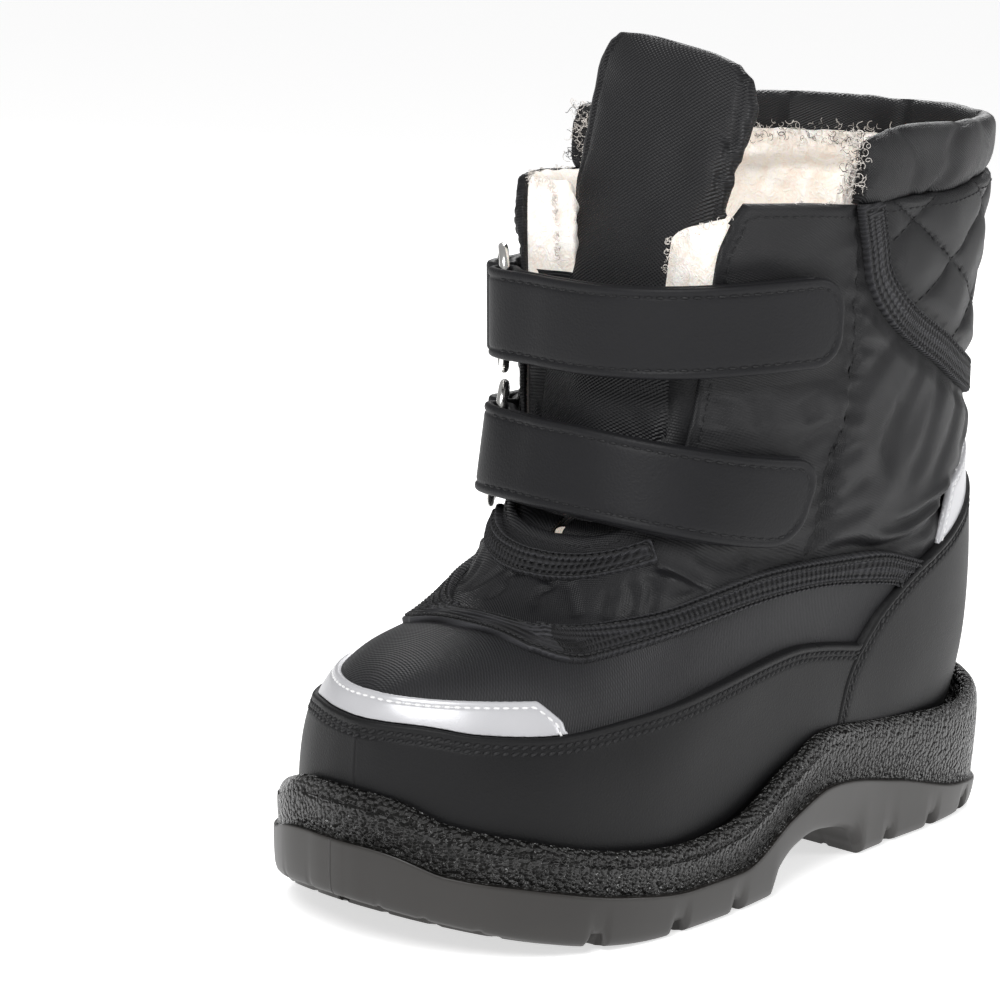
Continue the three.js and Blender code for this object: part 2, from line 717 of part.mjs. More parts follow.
function collarCuff() {
  const start = CUFF_START * SOLE_LENGTH;
  const level = collarZ(start);
  const from = turnAtX(start, level, true);
  const to = turnAtX(start, level, false);
  const steps = 24;
  const round = 12;
  const rings = [];
  for (let i = 0; i <= steps; i++) {
    const turn = from + (to - from) * (i / steps);
    const base = collarZ(shaftPlace(turn, level).point.x) + SEAM_GAP;
    const top = CUFF_TOP * COLLAR_HEIGHT;
    const end = Math.min(i, steps - i);
    const full = end === 0 ? 0.86 : end === 1 ? 0.97 : 1; // both ends are rounded over
    const ring = [];
    for (let j = 0; j < round; j++) {
      const angle = (j / round) * 2 * Math.PI;
      const c = Math.sign(Math.cos(angle)) * Math.abs(Math.cos(angle)) ** (2 / CUFF_POWER);
      const s = Math.sign(Math.sin(angle)) * Math.abs(Math.sin(angle)) ** (2 / CUFF_POWER);
      const z = base + (top - base) * full * (0.5 + 0.5 * s);
      const thick = CUFF_PROUD + WALL + CUFF_PADDING;
      const out = CUFF_PROUD - thick / 2 + (thick / 2) * full * c;
      const { point, normal } = shaftPlace(turn, z);
      ring.push(point.addScaledVector(normal.setZ(0).normalize(), out));
    }
    rings.push(ring);
  }
  return loft(rings);
}

// Straps: a strip wrapped on the shaft. A place on it is an arc from the front centre (positive to the lateral
// side), a share of its width from -1 to 1, and a distance out from the shaft's surface.
const BASE_LEVEL = STRAP_LIFT + STRAP_THICKNESS / 2;
const FOLD_RADIUS = (RING_WIRE + STRAP_THICKNESS) / 2 + RING_PLAY;
const BAR_LEVEL = BASE_LEVEL + FOLD_RADIUS;
const TOP_LEVEL = BASE_LEVEL + STRAP_THICKNESS + LAYER_GAP;
const BAR_OFFSET = (RING_WIDTH - RING_WIRE) / 2;
const FOLD_SETTLE = 10; // arc in which the outer layer comes down from the ring

function wrapFor(strap) {
  const middleZ = (arc) => strap.height + COLLAR_HEIGHT * strap.rise * smooth(arc / strap.end);
  const step = 0.004;
  const walk = (way) => {
    const places = [{ arc: 0, turn: 0 }];
    let before = shaftPlace(0, middleZ(0)).point;
    for (let k = 1; k < 70; k++) {
      const last = places[k - 1];
      const next = shaftPlace(way * step * k, middleZ(way * last.arc)).point;
      places.push({ arc: last.arc + next.distanceTo(before), turn: way * step * k });
      before = next;
    }
    return places;
  };
  const lateral = walk(1);
  const medial = walk(-1);
  const turnAt = (arc) => {
    const places = arc < 0 ? medial : lateral;
    const reach = Math.abs(arc);
    const k = Math.max(1, places.findIndex((place) => place.arc >= reach));
    const a = places[k - 1];
    const b = places[k];
    return a.turn + ((b.turn - a.turn) * (reach - a.arc)) / (b.arc - a.arc);
  };
  const edge = (arc, side, level) => {
    const turn = turnAt(arc);
    const z = middleZ(arc);
    const steep = Math.hypot(shaftPlace(turn, z).normal.x, shaftPlace(turn, z).normal.y);
    const { point, normal } = shaftPlace(turn, z + (side * STRAP_WIDTH * steep) / 2);
    return point.addScaledVector(normal, level);
  };
  const onShaft = (arc, share, level) => edge(arc, -1, level).lerp(edge(arc, 1, level), (share + 1) / 2);

  // At the ring the strap, the ring and the tab share one flat frame, which runs out into the shaft's curve.
  const centre = onShaft(-RING_PLACE, 0, BAR_LEVEL);
  const across = onShaft(-RING_PLACE + BAR_OFFSET, 0, BAR_LEVEL).sub(onShaft(-RING_PLACE - BAR_OFFSET, 0, BAR_LEVEL));
  across.normalize();
  const up = onShaft(-RING_PLACE, 1, BAR_LEVEL).sub(onShaft(-RING_PLACE, -1, BAR_LEVEL));
  up.addScaledVector(across, -up.dot(across)).normalize();
  const out = across.clone().cross(up);
  const onRing = (arc, share, level) =>
    centre
      .clone()
      .addScaledVector(across, arc + RING_PLACE)
      .addScaledVector(up, (share * STRAP_WIDTH) / 2)
      .addScaledVector(out, level - BAR_LEVEL);
  const flatReach = BAR_OFFSET + FOLD_RADIUS;
  const wrap = (arc, share, level) => {
    const onCurve = smooth((Math.abs(arc + RING_PLACE) - flatReach) / FOLD_SETTLE);
    return onRing(arc, share, level).lerp(onShaft(arc, share, level), onCurve);
  };
  return { wrap, centre, across, up, out };
}

// A strip folded round a bar of the ring. way: 1 for the strap, -1 for the tab behind the ring.
function foldedStrip(wrap, bar, way, baseEnd, topEnd, endRadius) {
  const line = [];
  const pitch = 5;
  const baseSteps = Math.ceil(Math.abs(baseEnd - bar) / pitch);
  for (let k = 0; k < baseSteps; k++) line.push([baseEnd + ((bar - baseEnd) * k) / baseSteps, BASE_LEVEL]);
  const turns = 6;
  for (let k = 0; k <= turns; k++) {
    const angle = Math.PI * (k / turns - 0.5);
    line.push([bar - way * FOLD_RADIUS * Math.cos(angle), BAR_LEVEL + FOLD_RADIUS * Math.sin(angle)]);
  }
  const straight = Math.abs(topEnd - bar) - endRadius;
  const topSteps = Math.ceil(straight / pitch);
  const topArcs = [];
  for (let k = 1; k <= topSteps; k++) topArcs.push((straight * k) / topSteps);
  for (const share of [0.3, 0.55, 0.75, 0.9, 0.98]) topArcs.push(straight + endRadius * share);
  for (const arc of topArcs) {
    const lift = (BAR_LEVEL + FOLD_RADIUS - TOP_LEVEL) * (1 - smooth(arc / FOLD_SETTLE));
    line.push([bar + way * arc, TOP_LEVEL + lift]);
  }
  const half = STRAP_WIDTH / 2;
  const rings = line.map(([arc, level], i) => {
    const before = line[Math.max(0, i - 1)];
    const after = line[Math.min(line.length - 1, i + 1)];
    const run = new THREE.Vector2(after[0] - before[0], after[1] - before[1]).normalize();
    const fromEnd = level > BAR_LEVEL - FOLD_RADIUS + STRAP_THICKNESS / 2 ? Math.abs(topEnd - arc) : endRadius;
    const missing = Math.max(0, endRadius - fromEnd);
    const share = (half - endRadius + Math.sqrt(endRadius ** 2 - missing ** 2)) / half;
    const place = (across, side) =>
      wrap(arc - (run.y * side * STRAP_THICKNESS) / 2, across, level + (run.x * side * STRAP_THICKNESS) / 2);
    return [place(-share, 1), place(share, 1), place(share, -1), place(-share, -1)];
  });
  return loft(rings);
}

// A flat stadium-shaped wire ring between the strap's fold and the tab's fold
function ring({ centre, across, up, out }) {
  const straight = (RING_HEIGHT - RING_WIDTH) / 2;
  const turns = 8;
  const sides = 8;
  const points = [];
  for (const end of [1, -1]) {
    for (let k = 0; k <= turns; k++) {
      const angle = end > 0 ? (Math.PI * k) / turns : Math.PI + (Math.PI * k) / turns;
      const radial = across.clone().multiplyScalar(Math.cos(angle)).addScaledVector(up, Math.sin(angle));
      const middle = centre.clone().addScaledVector(radial, BAR_OFFSET).addScaledVector(up, end * straight);
      const section = [];
      for (let j = 0; j < sides; j++) {
        const roll = (j / sides) * 2 * Math.PI;
        const offset = radial.clone().multiplyScalar(Math.cos(roll)).addScaledVector(out, Math.sin(roll));
        section.push(middle.clone().addScaledVector(offset, RING_WIRE / 2));
      }
      points.push(section);
    }
  }
  return loft([...points, points[0]], "none");
}

// Materials of the finished boot
const finish = (color, roughness, metalness = 0) => new THREE.MeshStandardMaterial({ color, roughness, metalness });
const RUBBER = finish(0x2e2d2b, 0.55);
const NYLON = finish(0x1c1d20, 0.6);
const SYNTHETIC_LEATHER = finish(0x232425, 0.7);
const RIBBED_WEBBING = finish(0x15161a, 0.8);
const SILVER_TAPE = finish(0xc6c7ca, 0.35);
const STEEL = finish(0xd8d6d2, 0.2, 1);
const FLEECE = finish(0xefe8dd, 0.95);

const boot = new THREE.Group();
function piece(name, solid, material) {
  const mesh = new THREE.Mesh(geometryOf(solid.simplify(FINEST)), material);
  mesh.name = name;
  boot.add(mesh);
}

piece("outsole", outsole(), RUBBER);
piece("insole", insole(), FLEECE);
piece("upper", upper(), NYLON);
piece("tongue", tongue(), NYLON);
piece("toe_rand", toeRand(), SYNTHETIC_LEATHER);
piece("heel_counter", heelCounter(), SYNTHETIC_LEATHER);
piece("instep_band", instepBand(), RIBBED_WEBBING);
piece("throat_band", throatBand(), RIBBED_WEBBING);
piece("quarter_band_lateral", quarterBand(-1), RIBBED_WEBBING);
piece("quarter_band_medial", quarterBand(1), RIBBED_WEBBING);
piece("back_stay", backStay(), RIBBED_WEBBING);
piece("toe_reflector", toeReflector(), SILVER_TAPE);
piece("heel_reflector", heelReflector(), SILVER_TAPE);
piece("collar_cuff", collarCuff(), NYLON);
for (const strap of STRAPS) {
  const seat = wrapFor(strap);
  const strapBar = -RING_PLACE + BAR_OFFSET;
  const tabBar = -RING_PLACE - BAR_OFFSET;
  const tabEnd = tabBar - TAB_LENGTH;
  const strip = foldedStrip(seat.wrap, strapBar, 1, STRAP_BASE_REACH, strap.end, STRAP_END_RADIUS);
  const tab = foldedStrip(seat.wrap, tabBar, -1, tabEnd + TAB_END_RADIUS, tabEnd, TAB_END_RADIUS);
  piece(`strap_${strap.place}`, strip, SYNTHETIC_LEATHER);
  piece(`ring_${strap.place}`, ring(seat), STEEL);
  piece(`tab_${strap.place}`, tab, SYNTHETIC_LEATHER);
}

// The origin is the middle of the boot's box, on the floor.
const box = new THREE.Box3().setFromObject(boot);
const middle = box.getCenter(new THREE.Vector3());
for (const mesh of boot.children) mesh.geometry.translate(-middle.x, -middle.y, -box.min.z);

export default boot;
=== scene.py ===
# Snow boot for the left foot: the looks of each piece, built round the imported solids.
# Sizes are in millimetres until a mesh is made. The toe points along -X and the outer side faces -Y.
import math

import bpy
import numpy as np
from mathutils import Matrix, Vector
from mathutils.kdtree import KDTree


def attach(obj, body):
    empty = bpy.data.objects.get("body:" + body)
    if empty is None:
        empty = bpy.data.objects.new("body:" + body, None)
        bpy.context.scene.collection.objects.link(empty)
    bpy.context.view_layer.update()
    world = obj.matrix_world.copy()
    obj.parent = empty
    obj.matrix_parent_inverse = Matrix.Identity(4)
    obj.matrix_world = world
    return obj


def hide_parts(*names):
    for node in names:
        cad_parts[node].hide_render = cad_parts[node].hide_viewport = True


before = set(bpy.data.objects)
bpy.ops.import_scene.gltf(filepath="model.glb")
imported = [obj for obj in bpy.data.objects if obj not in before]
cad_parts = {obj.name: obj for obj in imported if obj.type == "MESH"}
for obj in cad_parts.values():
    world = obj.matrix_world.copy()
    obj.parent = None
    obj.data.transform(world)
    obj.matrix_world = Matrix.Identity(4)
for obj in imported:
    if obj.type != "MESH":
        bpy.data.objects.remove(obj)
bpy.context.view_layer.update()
scene = bpy.context.scene


# Camera and studio
# A long lens from the front and the outer side, a little above the boot. The floor is plain and pale,
# with a broad soft light above the toe, a weaker one from behind and an even pale surround.
camera_data = bpy.data.cameras.new("camera")
camera_data.sensor_width = 36
camera_data.lens = 120.35
camera_data.clip_start = 0.05
camera_data.clip_end = 60
camera = bpy.data.objects.new("camera", camera_data)
scene.collection.objects.link(camera)
camera_axes = Matrix(((0.6427, -0.7646, 0.0474), (0.1206, 0.1620, 0.9794), (-0.7566, -0.6237, 0.1963)))
camera.matrix_world = Matrix.Translation((-0.5676, -0.4212, 0.2173)) @ camera_axes.transposed().to_4x4()
scene.camera = camera
scene.view_settings.view_transform = "Standard"

world = bpy.data.worlds.new("surround")
world.use_nodes = True
world.node_tree.nodes["Background"].inputs["Color"].default_value = (1, 1, 1, 1)
world.node_tree.nodes["Background"].inputs["Strength"].default_value = 0.36
scene.world = world


def soft_light(name, place, target, size, power):
    data = bpy.data.lights.new(name, "AREA")
    data.shape = "DISK"
    data.size = size
    data.energy = power
    light = bpy.data.objects.new(name, data)
    scene.collection.objects.link(light)
    light.location = place
    light.rotation_euler = (Vector(target) - Vector(place)).to_track_quat("-Z", "Y").to_euler()


soft_light("key", (-0.9, -0.35, 1.0), (0, 0, 0.08), 0.7, 13)
soft_light("side", (0.75, -1.0, 0.6), (0.03, 0, 0.09), 0.45, 4)
soft_light("rear", (0.9, 0.5, 0.8), (0.05, 0, 0.1), 0.7, 7)


def add_node(tree, kind, settings=None, **inputs):
    """A shader or geometry node, with its settings and its inputs by name, as values or links."""
    made = tree.nodes.new(kind)
    for key, value in (settings or {}).items():
        setattr(made, key, value)
    for key, value in inputs.items():
        socket = made.inputs[int(key[1:])] if key[1:].isdigit() else made.inputs[key.replace("_", " ")]
        if isinstance(value, bpy.types.NodeSocket):
            tree.links.new(value, socket)
        else:
            socket.default_value = value
    return made


def new_material(name, roughness, colour=(0.5, 0.5, 0.5)):
    material = bpy.data.materials.new(name)
    material.use_nodes = True
    shader = material.node_tree.nodes["Principled BSDF"]
    shader.inputs["Base Color"].default_value = (*colour, 1)
    shader.inputs["Roughness"].default_value = roughness
    shader.inputs["Specular IOR Level"].default_value = 0.28
    return material, material.node_tree, shader


def math_node(tree, operation, a, b=0.0):
    return add_node(tree, "ShaderNodeMath", {"operation": operation}, i0=a, i1=b).outputs[0]


FLOOR_SIZE = 24
bpy.ops.mesh.primitive_plane_add(size=FLOOR_SIZE)
floor = bpy.context.object
floor.name = "floor"
floor_paint, floor_tree, floor_shader = new_material("pale_floor", 0.5, (0.9, 0.9, 0.9))
floor_grain = add_node(floor_tree, "ShaderNodeTexNoise", Scale=3.0)
floor_tree.links.new(
    add_node(floor_tree, "ShaderNodeMapRange", Value=floor_grain.outputs[0], To_Min=0.42,
             To_Max=0.5).outputs[0],
    floor_shader.inputs["Roughness"],
)
floor_shader.inputs["Emission Color"].default_value = (1, 1, 1, 1)
floor_shader.inputs["Emission Strength"].default_value = 0.62
floor.data.materials.append(floor_paint)


# Outsole
# A moulded rubber cup: a pebbled upper band with a rounded top edge, a smooth band below a step line, and a
# tread of chevron grooves under the forefoot and the heel, with an open arch between them.
SOLE_LENGTH = 200
BALL_WIDTH = 83
HEEL_WIDTH = 73
COLLAR_HEIGHT = 160
RIM_HEIGHT = 32
SIDE_SHIFT = 1.2546  # from the heel's middle line to the middle of the boot's width
OUTLINE_ALONG = [0, 0.007, 0.03, 0.085, 0.19, 0.34, 0.5, 0.64, 0.76, 0.86, 0.93, 0.978, 0.996, 1]
OUTLINE_LATERAL = [0.02, 0.16, 0.31, 0.445, 0.5, 0.496, 0.505, 0.525, 0.515, 0.455, 0.345, 0.195, 0.07, 0.012]
OUTLINE_MEDIAL = [0.02, 0.15, 0.29, 0.41, 0.46, 0.43, 0.435, 0.475, 0.485, 0.445, 0.365, 0.235, 0.1, 0.02]
SIDE_X = [-0.5, -0.46, -0.4, -0.3, -0.2, -0.115, -0.01, 0.07, 0.22, 0.36, 0.5]
SIDE_RIM = [1, 0.85, 0.755, 0.63, 0.575, 0.62, 0.85, 0.985, 0.9, 0.85, 0.96]
SIDE_LINE = [0.68, 0.55, 0.475, 0.355, 0.285, 0.285, 0.51, 0.61, 0.46, 0.26, 0.19]
ARCH_X = [-0.055, -0.035, 0, 0.045, 0.09, 0.135, 0.15, 0.158]
ARCH_Z = [-0.3, 0.45, 0.85, 1, 0.9, 0.65, 0.3, -0.3]
GROOVES = [-0.325, -0.215, -0.115, 0.22, 0.31, 0.39]
GROOVE_WIDTH = 4
GROOVE_CHEVRON = 5
TREAD_DEPTH = 2.6
# One level of the side: how far it is set in, the height that it goes with (0 tread, 1 step line, 2 top edge)
# and the height over that, from the edge of the tread up and over the rounded top edge.
SIDE_LEVELS = [
    (3.0, 0, 0.0), (2.3, 0, 0.08), (1.6, 0, 0.4), (1.0, 0, 1.0), (0.7, 0, 1.8), (0.5, 0, 2.6),
    (0.25, 0.35, 1.4),
    (0.05, 0.7, 0.6), (0.0, 1, -1.0), (0.0, 1, -0.45), (0.12, 1, -0.2), (0.45, 1, -0.05), (0.8, 1, 0.0),
    (0.9, 1, 0.3), (0.85, 1.1, 0.4), (0.7, 1.25, 0), (0.55, 1.45, 0), (0.5, 1.6, 0), (0.55, 1.75, -0.6),
    (0.75, 2, -3.2), (1.0, 2, -2.0), (1.5, 2, -0.95), (2.2, 2, -0.28), (3.0, 2, 0.0), (3.8, 2, -0.25),
    (4.4, 2, -0.95), (4.7, 2, -2.2), (4.8, 2, -6.0),
]


def through_rows(values, place):
    """A smooth curve through equally spaced rows of a table, for an array of places counted in rows."""
    values = np.asarray(values, float)
    last = len(values) - 1
    k = np.clip(np.floor(place).astype(int), 0, last - 1)
    t = place - k
    b, c = values[k], values[k + 1]
    a = np.where(k > 0, values[np.maximum(k - 1, 0)], 2 * b - c)
    d = np.where(k < last - 1, values[np.minimum(k + 2, last)], 2 * c - b)
    return b + 0.5 * t * (c - a + t * (2 * a - 5 * b + 4 * c - d + t * (3 * (b - c) + d - a)))


def smooth(t):
    t = np.clip(t, 0, 1)
    return t * t * (3 - 2 * t)


def curve_of(xs, ys, x):
    """A smooth function through points, with no overshoot between two of them."""
    xs, ys, x = np.asarray(xs, float), np.asarray(ys, float), np.asarray(x, float)
    rise = np.diff(ys) / np.diff(xs)
    slope = np.zeros(len(xs))
    same = rise[:-1] * rise[1:] > 0
    slope[1:-1][same] = (2 * rise[:-1] * rise[1:])[same] / (rise[:-1] + rise[1:])[same]
    i = np.clip(np.searchsorted(xs, x, side="right") - 1, 0, len(xs) - 2)
    span = xs[i + 1] - xs[i]
    t = np.clip((x - xs[i]) / span, 0, 1)
    bend = slope[i] * span * t * (1 - t) ** 2 - slope[i + 1] * span * t * t * (1 - t)
    return ys[i] + (ys[i + 1] - ys[i]) * smooth(t) + bend


def add_piece(name, points, faces, material, uv=None, replaces=(), flat=False):
    """A mesh object in the boot's frame, from points in millimetres. It rides on the boot's one body."""
    mesh = bpy.data.meshes.new(name)
    mesh.from_pydata((np.asarray(points) * 0.001).tolist(), [], [list(map(int, f)) for f in faces])
    mesh.polygons.foreach_set("use_smooth", [not flat] * len(mesh.polygons))
    mesh.update()
    if uv is not None:
        layer = mesh.uv_layers.new(name="surface")
        corner = np.zeros(len(mesh.loops), np.int32)
        mesh.loops.foreach_get("vertex_index", corner)
        layer.data.foreach_set("uv", np.asarray(uv, np.float32)[corner].ravel())
    made = bpy.data.objects.new(name, mesh)
    scene.collection.objects.link(made)
    mesh.materials.append(material)
    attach(made, "root")
    if replaces:
        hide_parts(*replaces)
    return made


def side_height(shares, x):
    return curve_of(np.array(SIDE_X) * SOLE_LENGTH, np.array(shares) * RIM_HEIGHT, x)


def tread_height(x, y):
    """Height of the sole's underside: toe spring, bevel of the heel, arch and grooves."""
    share = x / SOLE_LENGTH
    toe = np.clip((-share - 0.24) / 0.26, 0, 1)
    heel = np.clip((share - 0.43) / 0.07, 0, 1)
    base = 9.5 * toe**1.8 + 3 * heel**2
    arch = curve_of(ARCH_X, np.array(ARCH_Z) * 10, share)
    cut = np.zeros_like(x)
    for place in GROOVES:
        middle = place * SOLE_LENGTH - GROOVE_CHEVRON * (1 - np.abs(y) / (BALL_WIDTH / 2 + 6))
        cut = np.maximum(cut, smooth((GROOVE_WIDTH / 2 + 0.3 - np.abs(x - middle)) / 0.6))
    lug = 0.35 * smooth((np.abs(np.abs(y) % 9 - 4.5) - 3.6) / 0.5) * (np.abs(y) < 30)
    return np.maximum(base + TREAD_DEPTH * cut + lug * (1 - cut), arch)


SOLE_STEPS = 330
sole_place = np.linspace(0, len(OUTLINE_ALONG) - 1, SOLE_STEPS)
along = through_rows(OUTLINE_ALONG, sole_place)
nominal = HEEL_WIDTH + (BALL_WIDTH - HEEL_WIDTH) * smooth((along - 0.2) / 0.4)
sole_x = (0.5 - along) * SOLE_LENGTH
lateral_edge = np.stack([sole_x, -nominal * through_rows(OUTLINE_LATERAL, sole_place)], 1)
medial_edge = np.stack([sole_x, nominal * through_rows(OUTLINE_MEDIAL, sole_place)], 1)
edge = np.concatenate([lateral_edge, medial_edge[::-1]])
run = np.roll(edge, -1, 0) - np.roll(edge, 1, 0)
run /= np.linalg.norm(run, axis=1)[:, None]
inward = np.stack([run[:, 1], -run[:, 0]], 1)
rings = []
for depth, kind, rise in SIDE_LEVELS:
    flat_ring = edge + inward * depth
    low, line, rim = (
        tread_height(edge[:, 0], edge[:, 1]),
        side_height(SIDE_LINE, edge[:, 0]),
        side_height(SIDE_RIM, edge[:, 0]),
    )
    height = low + (line - low) * min(kind, 1) + (rim - line) * max(kind - 1, 0) + rise
    rings.append(np.column_stack([flat_ring, height]))
count = len(edge)
sole_points = np.concatenate(rings)
sole_faces = []
for level in range(len(rings) - 1):
    for j in range(count):
        a, b = level * count + j, level * count + (j + 1) % count
        sole_faces.append((a, a + count, b + count, b))
ACROSS_STEPS = 96
inner = rings[0]
share = np.linspace(0, 1, ACROSS_STEPS + 1)[1:-1]
start = len(sole_points)
lateral_ring, medial_ring = inner[:SOLE_STEPS], inner[SOLE_STEPS:][::-1]
grid = lateral_ring[:, None, :2] * (1 - share[None, :, None]) + medial_ring[:, None, :2] * share[None, :,
                                                                                                 None]
tread = np.concatenate([grid, tread_height(grid[..., 0], grid[..., 1])[..., None]], 2)
sole_points = np.concatenate([sole_points, tread.reshape(-1, 3)])


def tread_index(i, j):
    if j == 0:
        return i
    if j == ACROSS_STEPS:
        return count - 1 - i
    return start + i * (ACROSS_STEPS - 1) + j - 1


for i in range(SOLE_STEPS - 1):
    for j in range(ACROSS_STEPS):
        sole_faces.append((tread_index(i, j), tread_index(i + 1, j), tread_index(i + 1, j + 1),
                           tread_index(i, j + 1)))
lip = (len(rings) - 1) * count
for i in range(SOLE_STEPS - 1):  # closes the cup out of sight, under the upper
    sole_faces.append((lip + i, lip + count - 1 - i, lip + count - 2 - i, lip + i + 1))
sole_points[:, 1] += SIDE_SHIFT
rubber, rubber_tree, rubber_shader = new_material("sole_rubber", 0.45)
rubber_shader.inputs["Specular IOR Level"].default_value = 0.5
outsole = add_piece("outsole_rubber", sole_points, sole_faces, rubber, replaces=["outsole"])

# Its paint: the pebbled band is nearly black, the smooth band a brownish grey. The height over the step line
# is kept on the mesh, so that the two finishes meet at the moulded step.
over_line = sole_points[:, 2] - side_height(SIDE_LINE, sole_points[:, 0])
attribute = outsole.data.attributes.new("over_line", "FLOAT", "POINT")
attribute.data.foreach_set("value", over_line.astype(np.float32))
above = add_node(rubber_tree, "ShaderNodeAttribute", {"attribute_name": "over_line"}).outputs["Fac"]
pebbled = add_node(rubber_tree, "ShaderNodeMapRange", Value=above, From_Min=-0.15, From_Max=0.3).outputs[0]
place = add_node(rubber_tree, "ShaderNodeTexCoord").outputs["Object"]
cells = add_node(rubber_tree, "ShaderNodeTexVoronoi", {"feature": "SMOOTH_F1"}, Vector=place, Scale=1050.0,
                 Smoothness=0.35)
wrinkles = add_node(rubber_tree, "ShaderNodeTexNoise", Vector=place, Scale=900.0, Detail=2.0)
clouds = add_node(rubber_tree, "ShaderNodeTexNoise", Vector=place, Scale=40.0, Detail=3.0)
relief = math_node(rubber_tree, "ADD", math_node(rubber_tree, "MULTIPLY", cells.outputs["Distance"], -2.6),
                   math_node(rubber_tree, "MULTIPLY", wrinkles.outputs[0], 0.5))
fine = math_node(rubber_tree, "MULTIPLY", clouds.outputs[0], 0.25)
# The mould's parting line runs down the tip of the toe.
spot = add_node(rubber_tree, "ShaderNodeSeparateXYZ", i0=place)
aside = math_node(rubber_tree, "ABSOLUTE", math_node(rubber_tree, "SUBTRACT", spot.outputs[1], 0.0034))
parting = add_node(rubber_tree, "ShaderNodeMapRange", Value=aside, From_Max=0.0004, To_Min=1.0, To_Max=0.0)
at_toe = math_node(rubber_tree, "LESS_THAN", spot.outputs[0], -0.09)
parting = math_node(rubber_tree, "MULTIPLY", parting.outputs[0], at_toe)
fine = math_node(rubber_tree, "ADD", fine, math_node(rubber_tree, "MULTIPLY", parting, 0.5))
height_mix = add_node(rubber_tree, "ShaderNodeMix", Factor=pebbled, i2=fine, i3=relief)
bump = add_node(rubber_tree, "ShaderNodeBump", Strength=1.0, Distance=0.0008, Height=height_mix.outputs[0])
dark = add_node(rubber_tree, "ShaderNodeMix", {"data_type": "RGBA"}, Factor=clouds.outputs[0],
                i6=(0.006, 0.0059, 0.0056, 1), i7=(0.016, 0.0155, 0.0145, 1))
brown = add_node(rubber_tree, "ShaderNodeMix", {"data_type": "RGBA"}, Factor=clouds.outputs[0],
                 i6=(0.015, 0.0135, 0.0122, 1), i7=(0.027, 0.0245, 0.0222, 1))
coat = add_node(rubber_tree, "ShaderNodeMix", {"data_type": "RGBA"}, Factor=pebbled, i6=brown.outputs[2],
                i7=dark.outputs[2])
gloss = add_node(rubber_tree, "ShaderNodeMapRange", Value=pebbled, To_Min=0.42, To_Max=0.26)
rubber_tree.links.new(coat.outputs[2], rubber_shader.inputs["Base Color"])
rubber_tree.links.new(gloss.outputs[0], rubber_shader.inputs["Roughness"])
rubber_tree.links.new(bump.outputs[0], rubber_shader.inputs["Normal"])


# Upper
# One shell of padded black nylon over foam: toe piece, wrinkled instep, smooth front quarters, folded lower
# back and quilted upper back. It is lofted from the solid's sections, with the first one drawn in to a point.
WALL = 3
LAST = [
    # frontX, frontZ, backX, backZ, lateral, medial, widest, frontPower, backPower
    (-0.471, 0.272, -0.471, 0.05, 0.0003, 0.0003, 0.55, 2.6, 4),
    (-0.466, 0.292, -0.466, 0.04, 0.085, 0.1, 0.55, 2.6, 4),
    (-0.449, 0.318, -0.449, 0.03, 0.17, 0.2, 0.56, 2.6, 4),
    (-0.4125, 0.341, -0.4125, 0.025, 0.28, 0.297, 0.57, 2.6, 4),
    (-0.3525, 0.36, -0.3525, 0.02, 0.375, 0.37, 0.57, 2.6, 4),
    (-0.2725, 0.376, -0.27, 0.02, 0.431, 0.414, 0.56, 2.5, 4),
    (-0.23, 0.405, -0.18, 0.025, 0.45, 0.41, 0.55, 2.4, 4),
    (-0.2, 0.448, -0.05, 0.03, 0.44, 0.385, 0.52, 2.4, 3.6),
    (-0.18, 0.5, 0.11, 0.05, 0.42, 0.37, 0.5, 2.4, 3.4),
    (-0.167, 0.556, 0.285, 0.055, 0.407, 0.375, 0.48, 2.5, 3.2),
    (-0.16, 0.612, 0.41, 0.085, 0.415, 0.39, 0.46, 2.5, 2.9),
    (-0.157, 0.67, 0.455, 0.18, 0.435, 0.415, 0.46, 2.5, 2.7),
    (-0.156, 0.735, 0.457, 0.31, 0.45, 0.435, 0.48, 2.5, 2.6),
    (-0.156, 0.8, 0.434, 0.5, 0.46, 0.45, 0.5, 2.5, 2.5),
    (-0.158, 0.87, 0.42, 0.68, 0.468, 0.46, 0.5, 2.5, 2.5),
    (-0.16, 0.94, 0.43, 0.85, 0.475, 0.468, 0.5, 2.5, 2.5),
    (-0.162, 1.02, 0.442, 1.02, 0.482, 0.475, 0.5, 2.5, 2.5),
]
COLLAR_EDGE = [(-0.2, 0.909), (-0.03, 0.911), (0.055, 0.906), (0.12, 0.912), (0.22, 0.916), (0.28, 0.924),
               (0.375, 0.931), (0.46, 0.934)]
THROAT = [(0, 0.472), (0.145, 0.481), (0.23, 0.52), (0.265, 0.575), (0.29, 0.688), (0.312, 0.825),
          (0.33, 0.87),
          (0.352, 0.897), (0.405, 0.915), (0.45, 1.1)]


def last_point(place, turn):
    """The upper's surface: place runs from toe 0 to collar 1, and turn from the front over the outer side."""
    place, turn = np.broadcast_arrays(np.asarray(place, float), np.asarray(turn, float))
    columns = np.array(LAST).T
    front_x, front_z, back_x, back_z, lateral, medial, widest, front_power, back_power = (
        through_rows(column, np.clip(place, 0, 1) * (len(LAST) - 1)) for column in columns
    )
    c, s = np.cos(turn * 2 * np.pi), np.sin(turn * 2 * np.pi)
    power = 2 / np.where(c > 0, front_power, back_power)
    reach = np.where(c > 0, widest, 1 - widest)
    share = widest - np.sign(c) * reach * np.abs(c) ** power
    half = np.where(s > 0, -lateral, medial) * BALL_WIDTH
    return np.stack([
        SOLE_LENGTH * (front_x + (back_x - front_x) * share),
        half * np.abs(s) ** power + SIDE_SHIFT,
        COLLAR_HEIGHT * (front_z + (back_z - front_z) * share),
    ], -1)


